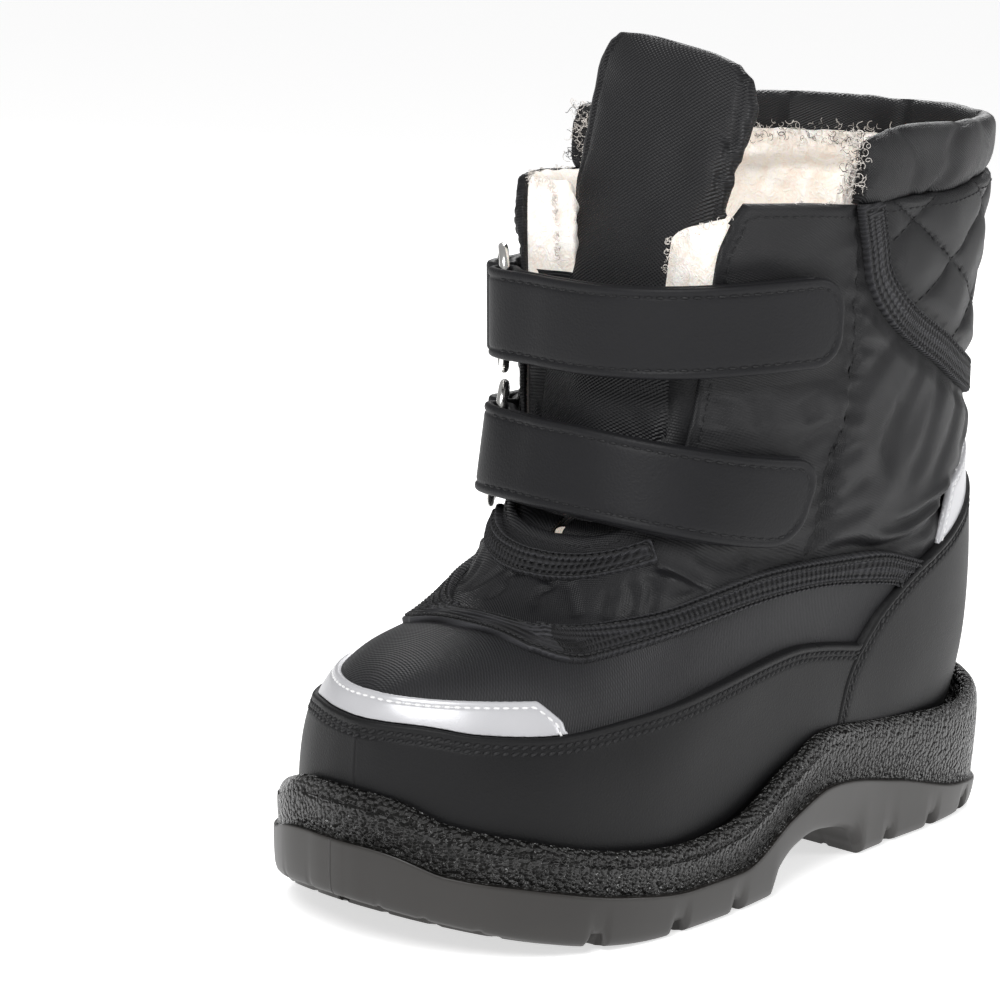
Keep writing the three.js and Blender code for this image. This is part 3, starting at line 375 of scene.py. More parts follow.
def last_normal(place, turn):
    nudge = 1e-3
    along = last_point(np.minimum(place + nudge, 1), turn) - last_point(np.maximum(place - nudge, 0), turn)
    round_it = last_point(place, turn + nudge) - last_point(place, turn - nudge)
    normal = -np.cross(along, round_it)
    # At the toe's tip both halves face straight ahead, so that they meet without a gap.
    normal[..., 1] *= smooth(np.asarray(place) * (len(LAST) - 1) + 0.02)
    return normal / np.maximum(np.linalg.norm(normal, axis=-1), 1e-9)[..., None]


def last_grid(step, low=0.0, high=1.0):
    """A net of (place, turn) pairs on the upper, with cells of about one step, closed round the turn."""
    fine = np.linspace(low, high, 800)
    length = np.zeros(799)
    for turn in (0.02, 0.15, 0.25, 0.35, 0.65, 0.75, 0.85):
        length = np.maximum(length, np.linalg.norm(np.diff(last_point(fine, turn), axis=0), axis=1))
    reach = np.concatenate([[0], np.cumsum(length)])
    places = np.interp(np.linspace(0, reach[-1], int(reach[-1] / step) + 2), reach, fine)
    turn = np.linspace(0, 1, 1601)
    ring = last_point(np.full(1601, 0.8 * high + 0.2 * low), turn)
    reach = np.concatenate([[0], np.cumsum(np.linalg.norm(np.diff(ring, axis=0), axis=1))])
    turns = np.interp(np.linspace(0, reach[-1], int(reach[-1] / step) + 1)[:-1], reach, turn)
    rows, columns = len(places), len(turns)
    net = np.stack(np.meshgrid(places, turns, indexing="ij"), -1).reshape(-1, 2)
    i, j = np.meshgrid(np.arange(rows - 1), np.arange(columns), indexing="ij")
    a = (i * columns + j).ravel()
    b = (i * columns + (j + 1) % columns).ravel()
    c, d = b + columns, a + columns
    # The outward side is the one from which the turn runs clockwise, so this order faces out.
    return net, np.concatenate([np.stack([a, b, c], 1), np.stack([a, c, d], 1)])


def cut_along(net, faces, values, keep_low=False):
    """Cuts triangles along the line where values is 0, and keeps the side above it, or both sides."""
    values = np.where(np.abs(values) < 1e-4, 1e-4, values)
    above = values[faces] > 0
    count = above.sum(1)
    whole = faces[(count == 3) | ((count == 0) & keep_low)]
    mixed = (count == 1) | (count == 2)
    tri, up = faces[mixed], above[mixed]
    lone_up = up.sum(1) == 1
    lone = np.where(lone_up, up.argmax(1), (~up).argmax(1))
    rows = np.arange(len(tri))
    a, b, c = tri[rows, lone], tri[rows, (lone + 1) % 3], tri[rows, (lone + 2) % 3]
    pairs = np.sort(np.concatenate([np.stack([a, b], 1), np.stack([a, c], 1)]), axis=1)
    unique, index = np.unique(pairs, axis=0, return_inverse=True)
    index = index.reshape(-1)
    p, q = unique[:, 0], unique[:, 1]
    t = np.clip(values[p] / (values[p] - values[q]), 0.04, 0.96)[:, None]
    step = net[q] - net[p]
    if net.shape[1] == 2:
        step[:, 1] = (step[:, 1] + 0.5) % 1 - 0.5  # the turn closes on itself
    fresh = net[p] + t * step
    ab, ac = len(net) + index[: len(tri)], len(net) + index[len(tri):]
    parts = [whole]
    tip, base = np.stack([a, ab, ac], 1), [np.stack([ab, b, c], 1), np.stack([ab, c, ac], 1)]
    parts.append(tip if keep_low else tip[lone_up])
    parts += base if keep_low else [base[0][~lone_up], base[1][~lone_up]]
    made = np.concatenate(parts)
    used, compact = np.unique(made, return_inverse=True)
    return np.concatenate([net, fresh])[used], compact.reshape(-1, 3), used


def cut_net(net, faces, values):
    return cut_along(net, faces, values)[:2]


def trimmed(net, faces, *keeps):
    """The net cut by each function of its points in turn, and the points that are left."""
    for keep in keeps:
        net, faces = cut_net(net, faces, keep(last_point(net[:, 0], net[:, 1])))
    return net, faces, last_point(net[:, 0], net[:, 1])


def polygon_distance(points, outline):
    """Signed distance of 2-D points from a closed outline, positive inside."""
    a = np.asarray(outline, float)
    b = np.roll(a, -1, 0)
    best = np.full(len(points), 1e9)
    inside = np.zeros(len(points), bool)
    for p, q in zip(a, b):
        run = q - p
        length = run @ run
        if length < 1e-12:
            continue
        t = np.clip(((points - p) @ run) / length, 0, 1)
        best = np.minimum(best, np.linalg.norm(points - p - t[:, None] * run, axis=1))
        crosses = (p[1] > points[:, 1]) != (q[1] > points[:, 1])
        x = p[0] + (points[:, 1] - p[1]) * run[0] / (run[1] if abs(run[1]) > 1e-12 else 1e-12)
        inside ^= crosses & (points[:, 0] < x)
    return np.where(inside, best, -best)


def flowing(rows, steps, scale):
    """Points on a smooth curve through a table of shares, in millimetres."""
    rows = np.array(rows, float) * scale
    place = np.linspace(0, len(rows) - 1, steps + 1)
    return np.stack([through_rows(rows[:, 0], place), through_rows(rows[:, 1], place)], 1)


SIDE_VIEW = (SOLE_LENGTH, COLLAR_HEIGHT)
FRONT_VIEW = (BALL_WIDTH, COLLAR_HEIGHT)
collar_table = np.array(COLLAR_EDGE) * SIDE_VIEW


def collar_height(x):
    return curve_of(collar_table[:, 0], collar_table[:, 1], x)


throat_half = flowing(THROAT, 60, FRONT_VIEW)
throat_outline = np.concatenate([throat_half[::-1] * (-1, 1), throat_half[1:]])


def throat_distance(points):
    """Distance from the throat's edge, positive in the cloth and negative in the opening."""
    away = -polygon_distance(points[:, 1:] - (SIDE_SHIFT, 0), throat_outline)
    return np.where(points[:, 0] < 0, away, 50.0)


def boundary_of(faces):
    """The edges that only one triangle has, in that triangle's order."""
    directed = np.concatenate([faces[:, [0, 1]], faces[:, [1, 2]], faces[:, [2, 0]]])
    key = np.sort(directed, axis=1)
    _, index, number = np.unique(key, axis=0, return_index=True, return_counts=True)
    return directed[index[number == 1]]


def distance_to(points, targets):
    tree = KDTree(len(targets))
    for i, target in enumerate(targets):
        tree.insert(target, i)
    tree.balance()
    return np.array([tree.find(p)[2] for p in points])


def edge_distance(points, faces, wanted=None):
    """How far each point lies from the piece's edge, or from the part of its edge that is wanted."""
    edges = boundary_of(faces)
    a, b = points[edges[:, 0]], points[edges[:, 1]]
    tip = (np.abs(a[:, 1] - SIDE_SHIFT) < 0.1) & (np.abs(b[:, 1] - SIDE_SHIFT) < 0.1) & (a[:, 0] < -93)
    a, b = a[~tip], b[~tip]
    if wanted is not None:
        chosen = wanted((a + b) / 2)
        a, b = a[chosen], b[chosen]
    steps = np.linspace(0, 1, 5)[:, None, None]
    return distance_to(points, (a + (b - a) * steps).reshape(-1, 3))


def on_upper(x, z, side):
    """The (place, turn) of the surface at x and z of the side view, on the outer (-1) or inner (1) side."""
    found = np.argmin((finder_points[:, 0] - x) ** 2 + (finder_points[:, 2] - z) ** 2
                      + 1e4 * ((finder_points[:, 1] - SIDE_SHIFT) * side < 0))
    return finder_net[found]


finder_net = last_grid(1.0)[0]
finder_points = last_point(finder_net[:, 0], finder_net[:, 1])


def surface_line(rows, side, steps=24):
    """A line on the upper through points of the side view, as points in space."""
    places = np.array([on_upper(x, z, side) for x, z in rows])
    places[:, 1] = np.where(places[:, 1] > 0.5 + 0.25 * (side < 0), places[:, 1] - 1, places[:, 1])
    t = np.linspace(0, len(rows) - 1, steps + 1)
    return last_point(through_rows(places[:, 0], t), through_rows(places[:, 1], t) % 1)


def line_distance(points, line):
    """Distance of points from a polyline, and the share of its length at the nearest place."""
    best, where = np.full(len(points), 1e9), np.zeros(len(points))
    for i, (p, q) in enumerate(zip(line[:-1], line[1:])):
        run = q - p
        t = np.clip(((points - p) @ run) / max(run @ run, 1e-9), 0, 1)
        d = np.linalg.norm(points - p - t[:, None] * run, axis=1)
        closer = d < best
        best[closer] = d[closer]
        where[closer] = (i + t[closer]) / (len(line) - 1)
    return best, where


def shell(net, faces, outer, inner):
    """A closed wall: the net moved out by outer, and a copy moved out by inner, joined at their edges."""
    base, normal = last_point(net[:, 0], net[:, 1]), last_normal(net[:, 0], net[:, 1])
    top, bottom = base + normal * outer[:, None], base + normal * inner[:, None]
    edges = boundary_of(faces)
    n = len(net)
    a, b = edges[:, 0], edges[:, 1]
    walls = np.concatenate([np.stack([b, a, a + n], 1), np.stack([b, a + n, b + n], 1)])
    return np.concatenate([top, bottom]), np.concatenate([faces, faces[:, ::-1] + n, walls])


def round_edge(distance, radius):
    """0 at an edge, rising round a quarter circle to 1."""
    return np.sqrt(1 - (1 - np.clip(distance / radius, 0, 1)) ** 2)


RAND_TOP = [(-0.55, 0.284), (-0.455, 0.284), (-0.41, 0.275), (-0.34, 0.272), (-0.245, 0.283), (-0.12, 0.304),
            (-0.007, 0.319), (0.06, 0.316), (0.15, 0.3)]
COUNTER_EDGE = [(0.085, 0.062), (0.1, 0.194), (0.113, 0.256), (0.138, 0.306), (0.172, 0.353), (0.215, 0.391),
                (0.265, 0.419), (0.3, 0.438), (0.34, 0.463), (0.39, 0.497), (0.45, 0.519), (0.55, 0.525)]
BAND_FRONT = [(-0.319, 0.5), (-0.319, 0.372), (-0.311, 0.352), (-0.287, 0.342), (-0.254, 0.345),
              (-0.165, 0.368),
              (-0.057, 0.386), (0.057, 0.393), (0.17, 0.379), (0.24, 0.356)]
BAND_REAR = [(0.24, 0.4), (0.205, 0.414), (0.137, 0.431), (-0.003, 0.432), (-0.105, 0.416), (-0.185, 0.394),
             (-0.245, 0.376), (-0.268, 0.374), (-0.278, 0.383), (-0.279, 0.5)]
QUARTER_BAND = [(0.064, 0.915), (0.08, 0.855), (0.093, 0.809), (0.125, 0.769), (0.17, 0.734), (0.228, 0.701),
                (0.28, 0.67), (0.34, 0.644), (0.4, 0.628), (0.475, 0.622)]
QUARTER_BAND_WIDTH = 7.5
HEEL_REFLECTOR = [(0.262, 0.4), (0.268, 0.43), (0.288, 0.503), (0.35, 0.537), (0.4, 0.562), (0.46, 0.578),
                  (0.55, 0.581), (0.55, 0.4)]


def under(line, steps=60):
    """The side view's area below a line, as a closed outline."""
    curve = flowing(line, steps, SIDE_VIEW)
    return np.concatenate([curve, [(curve[-1, 0], -200), (curve[0, 0], -200)]])


def ribbon(line, width, steps=40, scale=SIDE_VIEW):
    """The outline of a band of even width along a line."""
    curve = flowing(line, steps, scale)
    run = np.gradient(curve, axis=0)
    run /= np.linalg.norm(run, axis=1)[:, None]
    aside = np.stack([-run[:, 1], run[:, 0]], 1) * width / 2
    return np.concatenate([curve + aside, (curve - aside)[::-1]])


counter_area = under(COUNTER_EDGE)
heel_tape_area = np.array(HEEL_REFLECTOR) * SIDE_VIEW
rand_area = under(RAND_TOP)
band_area = np.concatenate([flowing(BAND_FRONT, 60, SIDE_VIEW), flowing(BAND_REAR, 60, SIDE_VIEW)])
band_front_line = flowing(BAND_FRONT, 60, SIDE_VIEW)
before_band = np.concatenate([band_front_line, [(band_front_line[-1, 0], -200), (-200, -200), (-200, 80)]])
band_rear_line = flowing(BAND_REAR[::-1], 60, SIDE_VIEW)
before_rear = np.concatenate([band_rear_line, [(band_rear_line[-1, 0], -200), (-200, -200), (-200, 80)]])
quarter_area = ribbon(QUARTER_BAND, QUARTER_BAND_WIDTH)
quarter_line = flowing(QUARTER_BAND, 40, SIDE_VIEW)
strap_areas = [
    np.array([(-60, 107.5), (9, 110), (9, 131.5), (-60, 128.5)]),
    np.array([(-60, 78.0), (9, 73.5), (9, 94.5), (-60, 98.5)]),
]

# Folds and puckers of the cloth: width, depth (below 0 for a ridge) and side view points.
SIDE_FOLDS = [
    (2.2, 1.5, [(7.9, 71.4), (21.9, 70.6), (35.6, 69.6), (44.3, 72), (54.1, 74.5), (63, 79.6)]),
    (1.5, 1.5, [(29, 74.4), (44.6, 76.5), (61, 80.2), (68, 84)]),
    (1.6, -1.1, [(24, 72.6), (38, 72.4), (50, 75.4), (62, 80.8)]),
    (1.7, -1.0, [(36, 77), (50, 79), (62, 83), (72, 88)]),
    (1.2, 0.9, [(50, 72.8), (54, 76.4), (62, 80.9), (70, 90)]),
    (2.0, 0.9, [(27.5, 115.5), (19.8, 110.4), (14.7, 104.9), (13.6, 98)]),
    (2.4, 0.8, [(37.5, 110.5), (32.8, 102.7), (29.5, 95), (27, 86)]),
    (2.4, 0.8, [(47, 107), (45, 100.3), (42, 92), (36, 83)]),
    (2.4, 0.9, [(58, 103), (56.5, 97.3), (52, 89), (44, 81)]),
    (2.0, 0.7, [(24.3, 91), (28, 97.7), (30.5, 103)]),
    (2.2, 0.7, [(68, 100), (66, 93), (60, 86)]),
    (2.2, 0.8, [(78, 98), (76, 92), (70, 87)]),
    (1.6, 0.7, [(9.6, 124.8), (14.3, 123), (19, 120.4)]),
    (1.3, 0.6, [(12.8, 116), (17, 114.6), (22, 114)]),
    (1.3, 0.6, [(12.6, 110), (17, 108.6)]),
    (1.5, 0.7, [(0, 94.9), (6.4, 98), (12.5, 100.6)]),
    (1.4, 0.6, [(7.8, 81.9), (15.4, 83.6), (22, 86)]),
    (1.4, 0.6, [(8.5, 77.5), (16, 78.5), (24, 80)]),
    (1.3, 0.5, [(10.6, 91), (17, 93.5)]),
    (3.2, 1.0, [(-19, 105.5), (-20, 99.5)]),
    (2.2, 0.8, [(-12, 107), (-10, 99)]),
    (2.4, 0.7, [(0, 106), (2, 100)]),
    (2.6, 0.9, [(-14, 73.5), (-4, 71.8), (6, 71)]),
]
INSTEP_FOLDS = [
    (0.9, 0.9, [(-43.5, 67.4), (-44.4, 66), (-46.8, 64.1), (-50.7, 61.4)]),
    (1.3, 0.9, [(-42.6, 67.6), (-46, 63.7), (-47.6, 61.6)]),
    (1.2, 0.7, [(-40.2, 67.4), (-43.6, 63.5), (-44.4, 61.5)]),
    (1.4, 0.9, [(-37.4, 68.4), (-39, 65), (-42.5, 61.8)]),
    (1.5, 1.0, [(-34.5, 69.8), (-35.2, 66.2), (-39.5, 61.8)]),
    (1.7, 1.3, [(-33, 71.8), (-28.8, 70.4), (-22.5, 66.6)]),
    (1.8, -0.9, [(-33, 68.8), (-28, 67.4), (-24, 65.4)]),
    (1.8, 0.9, [(-24, 73.5), (-16, 71), (-8, 70)]),
]


def cloth_height(points):
    """How far the padded cloth stands over the plain surface: quilting, folds, puckers and soft panels."""
    x, y, z = points.T
    view = points[:, [0, 2]]
    pressed = np.full(len(points), 1e9)
    for area in [counter_area, rand_area, band_area, quarter_area, heel_tape_area, *strap_areas]:
        pressed = np.minimum(pressed, -polygon_distance(view, area))
    stay = np.where((x > 55) & (z > 92), np.abs(y - SIDE_SHIFT) - 4, 50.0)
    pressed = np.minimum(pressed, stay)
    free = smooth(pressed / 5)
    over = z - np.interp(x, quarter_line[:, 0], quarter_line[:, 1])
    behind = x > 10
    quilted = smooth((over - 1) / 3) * behind * (x > 14)
    lower_back = smooth((-over - 1) / 3) * smooth((x - 8) / 4)
    # Arc length round the back, so that the quilted diamonds keep their shape where the side view narrows.
    arc = x + 16 * np.clip((x - 45) / 42, 0, 1) ** 3
    u, v = (z - 131.1 + 0.53 * (arc - 48)) / 21, (z - 131.1 - 0.6 * (arc - 48)) / 21
    pillow = np.sqrt(np.abs(np.sin(np.pi * u)) * np.abs(np.sin(np.pi * v)))
    height = quilted * free * (2.2 * pillow**0.62 - 0.4)
    height += lower_back * free * 1.5
    height += free * smooth((14 - x) / 4) * smooth((z - 72) / 8) * 0.9
    height += free * smooth((-24 - x) / 8) * smooth((74 - z) / 5) * smooth((z - 56) / 5) * 0.8
    seam, _ = line_distance(points, surface_line(SIDE_SEAM, -1, 40))
    inner_seam, _ = line_distance(points, surface_line(SIDE_SEAM, 1, 40))
    near = np.minimum(seam, inner_seam)
    height -= 1.1 * np.exp(-((near / 0.9) ** 2)) + 0.5 * np.exp(-((near / 3.0) ** 2))
    height += 0.28 * np.exp(-((near / 4.5) ** 2)) * np.sin(z * 1.35 + np.sign(x - 11) * 0.7)
    for side, amount in ((-1, 1.0), (1, 0.85)):
        for width, depth, rows in SIDE_FOLDS + INSTEP_FOLDS:
            away, share = line_distance(points, surface_line(rows, side))
            fade = np.clip(np.minimum(share, 1 - share) * 5 + 0.25, 0, 1)
            height -= amount * depth * fade * np.exp(-((away / width) ** 2))
    for k in range(5):
        spin = 0.9 + 0.7 * k
        wave = np.sin(x * 0.11 * spin + y * 0.13 + k) * np.sin(z * 0.12 * spin - y * 0.09 + 2 * k)
        height += free * 0.14 * wave * smooth((z - 60) / 10)
    return np.where(pressed < 1.5, np.minimum(height, 0.1), height)


SIDE_SEAM = [(10.6, 143.8), (12.2, 133), (12.8, 119.7), (12.8, 104.6), (11.1, 96.2), (9.7, 86.5), (8.8, 76.3),
             (7, 71)]


def twill_group():
    """Diagonal twill on the cloth's own net in millimetres: Height of the threads, Shade for their colour, as
    painted highlight on the threads and painted shade between them.
    """
    tree = bpy.data.node_groups.new("twill", "ShaderNodeTree")
    for name, kind, value in (("Vector", "NodeSocketVector", None), ("Pitch", "NodeSocketFloat", 0.62),
                              ("Lean", "NodeSocketFloat", 0.9)):
        socket = tree.interface.new_socket(name=name, in_out="INPUT", socket_type=kind)
        if value is not None:
            socket.default_value = value
    tree.interface.new_socket(name="Height", in_out="OUTPUT", socket_type="NodeSocketFloat")
    tree.interface.new_socket(name="Shade", in_out="OUTPUT", socket_type="NodeSocketFloat")
    into, out = tree.nodes.new("NodeGroupInput"), tree.nodes.new("NodeGroupOutput")
    parts = add_node(tree, "ShaderNodeSeparateXYZ", i0=into.outputs["Vector"])
    turns = math_node(tree, "DIVIDE", 2 * math.pi, into.outputs["Pitch"])
    leaning = math_node(tree, "MULTIPLY", parts.outputs[0], into.outputs["Lean"])
    warp = math_node(tree, "MULTIPLY", math_node(tree, "ADD", leaning, parts.outputs[1]), turns)
    weft = math_node(tree, "MULTIPLY", math_node(tree, "SUBTRACT", parts.outputs[1], leaning), turns)
    ridge = math_node(tree, "SINE", warp)
    beads = math_node(tree, "SINE", math_node(tree, "MULTIPLY", weft, 1.15))
    both = math_node(tree, "ADD", ridge, math_node(tree, "MULTIPLY", beads, 0.45))
    tree.links.new(both, out.inputs["Height"])
    # Painted light: the colour follows the threads' height, lighter on top and in painted shade between them.
    shade = add_node(tree, "ShaderNodeMapRange", Value=both, From_Min=-1.4, From_Max=1.4)
    tree.links.new(shade.outputs[0], out.inputs["Shade"])
    return tree


twill = twill_group()


def cloth_material(name, dark, light, pitch=0.62, lean=0.9, strength=0.55, roughness=0.52):
    """Black nylon twill with a soft sheen. The weave follows the piece's own net, and its colour is painted
    lighter on the raised threads, with painted shade between them.
    """
    material, tree, shader = new_material(name, roughness)
    net_place = add_node(tree, "ShaderNodeUVMap", {"uv_map": "surface"}).outputs[0]
    weave = add_node(tree, "ShaderNodeGroup", {"node_tree": twill}, Vector=net_place, Pitch=pitch, Lean=lean)
    cloud = add_node(tree, "ShaderNodeTexNoise", Vector=net_place, Scale=0.07, Detail=3.0)
    # The colour mixes the weave's painted highlight and painted shade with a random cloudy tone.
    shade = math_node(tree, "ADD", math_node(tree, "MULTIPLY", weave.outputs["Shade"], 0.7),
                      math_node(tree, "MULTIPLY", cloud.outputs[0], 0.35))
    paint = add_node(tree, "ShaderNodeMix", {"data_type": "RGBA"}, Factor=shade, i6=(*dark, 1),
                     i7=(*light, 1))
    bump = add_node(tree, "ShaderNodeBump", Strength=strength, Distance=0.0001,
                    Height=weave.outputs["Height"])
    gloss = add_node(tree, "ShaderNodeMapRange", Value=cloud.outputs[0], To_Min=roughness - 0.06,
                     To_Max=roughness + 0.08)
    tree.links.new(paint.outputs[2], shader.inputs["Base Color"])
    tree.links.new(gloss.outputs[0], shader.inputs["Roughness"])
    tree.links.new(bump.outputs[0], shader.inputs["Normal"])
    shader.inputs["Specular IOR Level"].default_value = 0.34
    return material


nylon = cloth_material("nylon_twill", (0.003, 0.003, 0.0035), (0.014, 0.014, 0.016), roughness=0.44)
toe_nylon = cloth_material("toe_nylon", (0.005, 0.005, 0.0055), (0.024, 0.024, 0.027), pitch=0.72, lean=0.35)


uv_turns = np.linspace(0, 1, 401)
uv_grid = last_point(np.linspace(0, 1, 81)[:, None], uv_turns[None])
uv_around = np.pad(np.cumsum(np.linalg.norm(np.diff(uv_grid, axis=1), axis=2), axis=1), ((0, 0), (1, 0)))
uv_around = np.where(uv_turns > 0.5, uv_around - uv_around[:, -1:], uv_around)
uv_along = np.pad(np.cumsum(np.linalg.norm(np.diff(uv_grid, axis=0), axis=2), axis=0), ((1, 0), (0, 0)))


def surface_uv(net):
    """Flat coordinates of a patch in millimetres: arc round the boot and length along it, for the weave."""
    row, column = np.clip(net[:, 0], 0, 1) * 80, (net[:, 1] % 1) * 400
    i, j = np.minimum(row.astype(int), 79), np.minimum(column.astype(int), 399)
    s, t = row - i, column - j
    found = []
    for table in (uv_around, uv_along):
        low = table[i, j] * (1 - t) + table[i, j + 1] * t
        high = table[i + 1, j] * (1 - t) + table[i + 1, j + 1] * t
        found.append(low * (1 - s) + high * s)
    return np.stack(found, 1)


def doubled(values):
    return np.concatenate([values, values])


# The shaft: quarters and back, from under the instep band and the counter up to the collar and the throat.
CLOTH = 1.4
UNDER_BAND = 1.5  # how far the cloth runs on under the instep band
UNDER_LEATHER = 4  # and under the leather
CORNER_START = 141.5  # the quarter's top front corner rises straight to the collar from this height


def quarter_corner(points):
    return 0.85 * (np.abs(points[:, 1] - SIDE_SHIFT) - 28.3 - 0.45 * (points[:, 2] - 143))


net, faces, points = trimmed(
    *last_grid(1.0, 0.28),
    lambda p: collar_height(p[:, 0]) - p[:, 2],
    lambda p: np.maximum(throat_distance(p), np.minimum(quarter_corner(p), p[:, 2] - CORNER_START)),
    lambda p: -polygon_distance(p[:, [0, 2]], before_band) - UNDER_BAND,
    lambda p: UNDER_LEATHER - polygon_distance(p[:, [0, 2]], counter_area))
rim = edge_distance(points, faces)
raised = cloth_height(points)
outer = (raised + CLOTH / 2) * round_edge(rim, 1.6) - CLOTH / 2
inner_side = -CLOTH / 2 - CLOTH / 2 * round_edge(rim, 1.6)
shaft_points, shaft_faces = shell(net, faces, outer, inner_side)
shaft_rim = (net, faces, rim, 2.6, outer)
x, y, z = points.T
arc = x + 16 * np.clip((x - 45) / 42, 0, 1) ** 3
over = z - np.interp(x, quarter_line[:, 0], quarter_line[:, 1])
quilted_part = (over > 4.5) & (x > 14)
quilt_rows = [np.where(quilted_part, (z - 131.1 + 0.53 * (arc - 48)) / 21, np.nan),
              np.where(quilted_part, (z - 131.1 - 0.6 * (arc - 48)) / 21, np.nan)]
quilt_lines = (net, faces, quilt_rows, outer)
add_piece("shaft_cloth", shaft_points, shaft_faces, nylon, doubled(surface_uv(net)), ["upper"])

# The toe piece, from under the rand and the counter up to the instep band.
net, faces, points = trimmed(
    *last_grid(0.8, 0.0, 0.72),
    lambda p: polygon_distance(p[:, [0, 2]], before_rear) - UNDER_BAND,
    lambda p: UNDER_LEATHER - np.maximum(polygon_distance(p[:, [0, 2]], rand_area),
                                         polygon_distance(p[:, [0, 2]], counter_area)))
rim = edge_distance(points, faces)
swell = 0.35 * smooth(-polygon_distance(points[:, [0, 2]], rand_area) / 12)
outer = (swell + CLOTH / 2) * round_edge(rim, 1.6) - CLOTH / 2
toe_points, toe_faces = shell(net, faces, outer, -CLOTH / 2 - CLOTH / 2 * round_edge(rim, 1.6))
add_piece("toe_cloth", toe_points, toe_faces, toe_nylon, doubled(surface_uv(net)))


# Stitches
# Short capsules of thread laid along a seam line. A line's mesh has edges only, with the way out from the
# surface kept on its points; the nodes lay the thread and the result is turned plain.
def stitch_nodes():
    tree = bpy.data.node_groups.new("stitches", "GeometryNodeTree")
    tree.interface.new_socket(name="Geometry", in_out="INPUT", socket_type="NodeSocketGeometry")
    for name, value in (("Pitch", 0.0025), ("Length", 0.002), ("Thickness", 0.0006), ("Lean", 0.0)):
        tree.interface.new_socket(name=name, in_out="INPUT",
                                  socket_type="NodeSocketFloat").default_value = value
    tree.interface.new_socket(name="Thread", in_out="INPUT", socket_type="NodeSocketMaterial")
    tree.interface.new_socket(name="Geometry", in_out="OUTPUT", socket_type="NodeSocketGeometry")
    into, out = tree.nodes.new("NodeGroupInput"), tree.nodes.new("NodeGroupOutput")
    curve = add_node(tree, "GeometryNodeMeshToCurve", Mesh=into.outputs["Geometry"])
    even = add_node(tree, "GeometryNodeResampleCurve", {"mode": "LENGTH"}, Curve=curve.outputs[0],
                    Length=into.outputs["Pitch"])
    capsule = add_node(tree, "GeometryNodeMeshUVSphere", Segments=6, Rings=5, Radius=0.5)
    flat = add_node(tree, "ShaderNodeCombineXYZ", X=into.outputs["Length"], Y=into.outputs["Thickness"],
                    Z=into.outputs["Thickness"])
    thread = add_node(tree, "GeometryNodeTransform", Geometry=capsule.outputs[0], Scale=flat.outputs[0])
    tangent = add_node(tree, "GeometryNodeInputTangent")
    up = add_node(tree, "GeometryNodeInputNamedAttribute", {"data_type": "FLOAT_VECTOR"}, Name="up")
    run = add_node(tree, "FunctionNodeAlignRotationToVector", {"axis": "X"}, Vector=tangent.outputs[0])
    stand = add_node(tree, "FunctionNodeAlignRotationToVector", {"axis": "Z", "pivot_axis": "X"},
                     Rotation=run.outputs[0], Vector=up.outputs[0])
    lean = add_node(tree, "ShaderNodeCombineXYZ", Z=into.outputs["Lean"])
    turned = add_node(tree, "FunctionNodeRotateRotation", {"rotation_space": "LOCAL"},
                      Rotation=stand.outputs[0])
    tree.links.new(lean.outputs[0], turned.inputs[1])
    laid = add_node(tree, "GeometryNodeInstanceOnPoints", Points=even.outputs[0], Instance=thread.outputs[0],
                    Rotation=turned.outputs[0])
    real = add_node(tree, "GeometryNodeRealizeInstances", Geometry=laid.outputs[0])
    dyed = add_node(tree, "GeometryNodeSetMaterial", Geometry=real.outputs[0],
                    Material=into.outputs["Thread"])
    tree.links.new(dyed.outputs[0], out.inputs["Geometry"])
    return tree


stitching = stitch_nodes()


def made_plain(name, raw, modifier, material):
    """Turns the evaluated result of a piece's nodes into a plain mesh object, and drops the raw one."""
    view_layer = bpy.context.view_layer
    view_layer.update()
    mesh = bpy.data.meshes.new_from_object(raw.evaluated_get(bpy.context.evaluated_depsgraph_get()))
    raw.modifiers.remove(modifier)
    bpy.data.objects.remove(raw)
    mesh.name = name
    mesh.materials.clear()
    mesh.materials.append(material)
    mesh.polygons.foreach_set("use_smooth", [True] * len(mesh.polygons))
    made = bpy.data.objects.new(name, mesh)
    scene.collection.objects.link(made)
    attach(made, "root")
    return made


def add_stitches(name, chains, material, pitch=2.5, length=2.0, thickness=0.6, lean=0.0):
    """Stitches along chains of (points, ways out) in millimetres."""
    points, ups, edges = [], [], []
    for chain, up in chains:
        start = sum(len(p) for p in points)
        points.append(chain)
        ups.append(up)
        edges += [(start + i, start + i + 1) for i in range(len(chain) - 1)]
    mesh = bpy.data.meshes.new(name)
    mesh.from_pydata((np.concatenate(points) * 0.001).tolist(), edges, [])
    mesh.attributes.new("up", "FLOAT_VECTOR", "POINT").data.foreach_set(
        "vector", np.concatenate(ups).astype(np.float32).ravel())
    raw = bpy.data.objects.new(name + "_line", mesh)
    scene.collection.objects.link(raw)
    modifier = raw.modifiers.new("stitches", "NODES")
    modifier.node_group = stitching
    sizes = {"Pitch": pitch * 0.001, "Length": length * 0.001, "Thickness": thickness * 0.001, "Lean": lean,
             "Thread": material}
    for item in stitching.interface.items_tree:
        if item.in_out == "INPUT" and item.name in sizes:
            modifier[item.identifier] = sizes[item.name]
    return made_plain(name, raw, modifier, material)


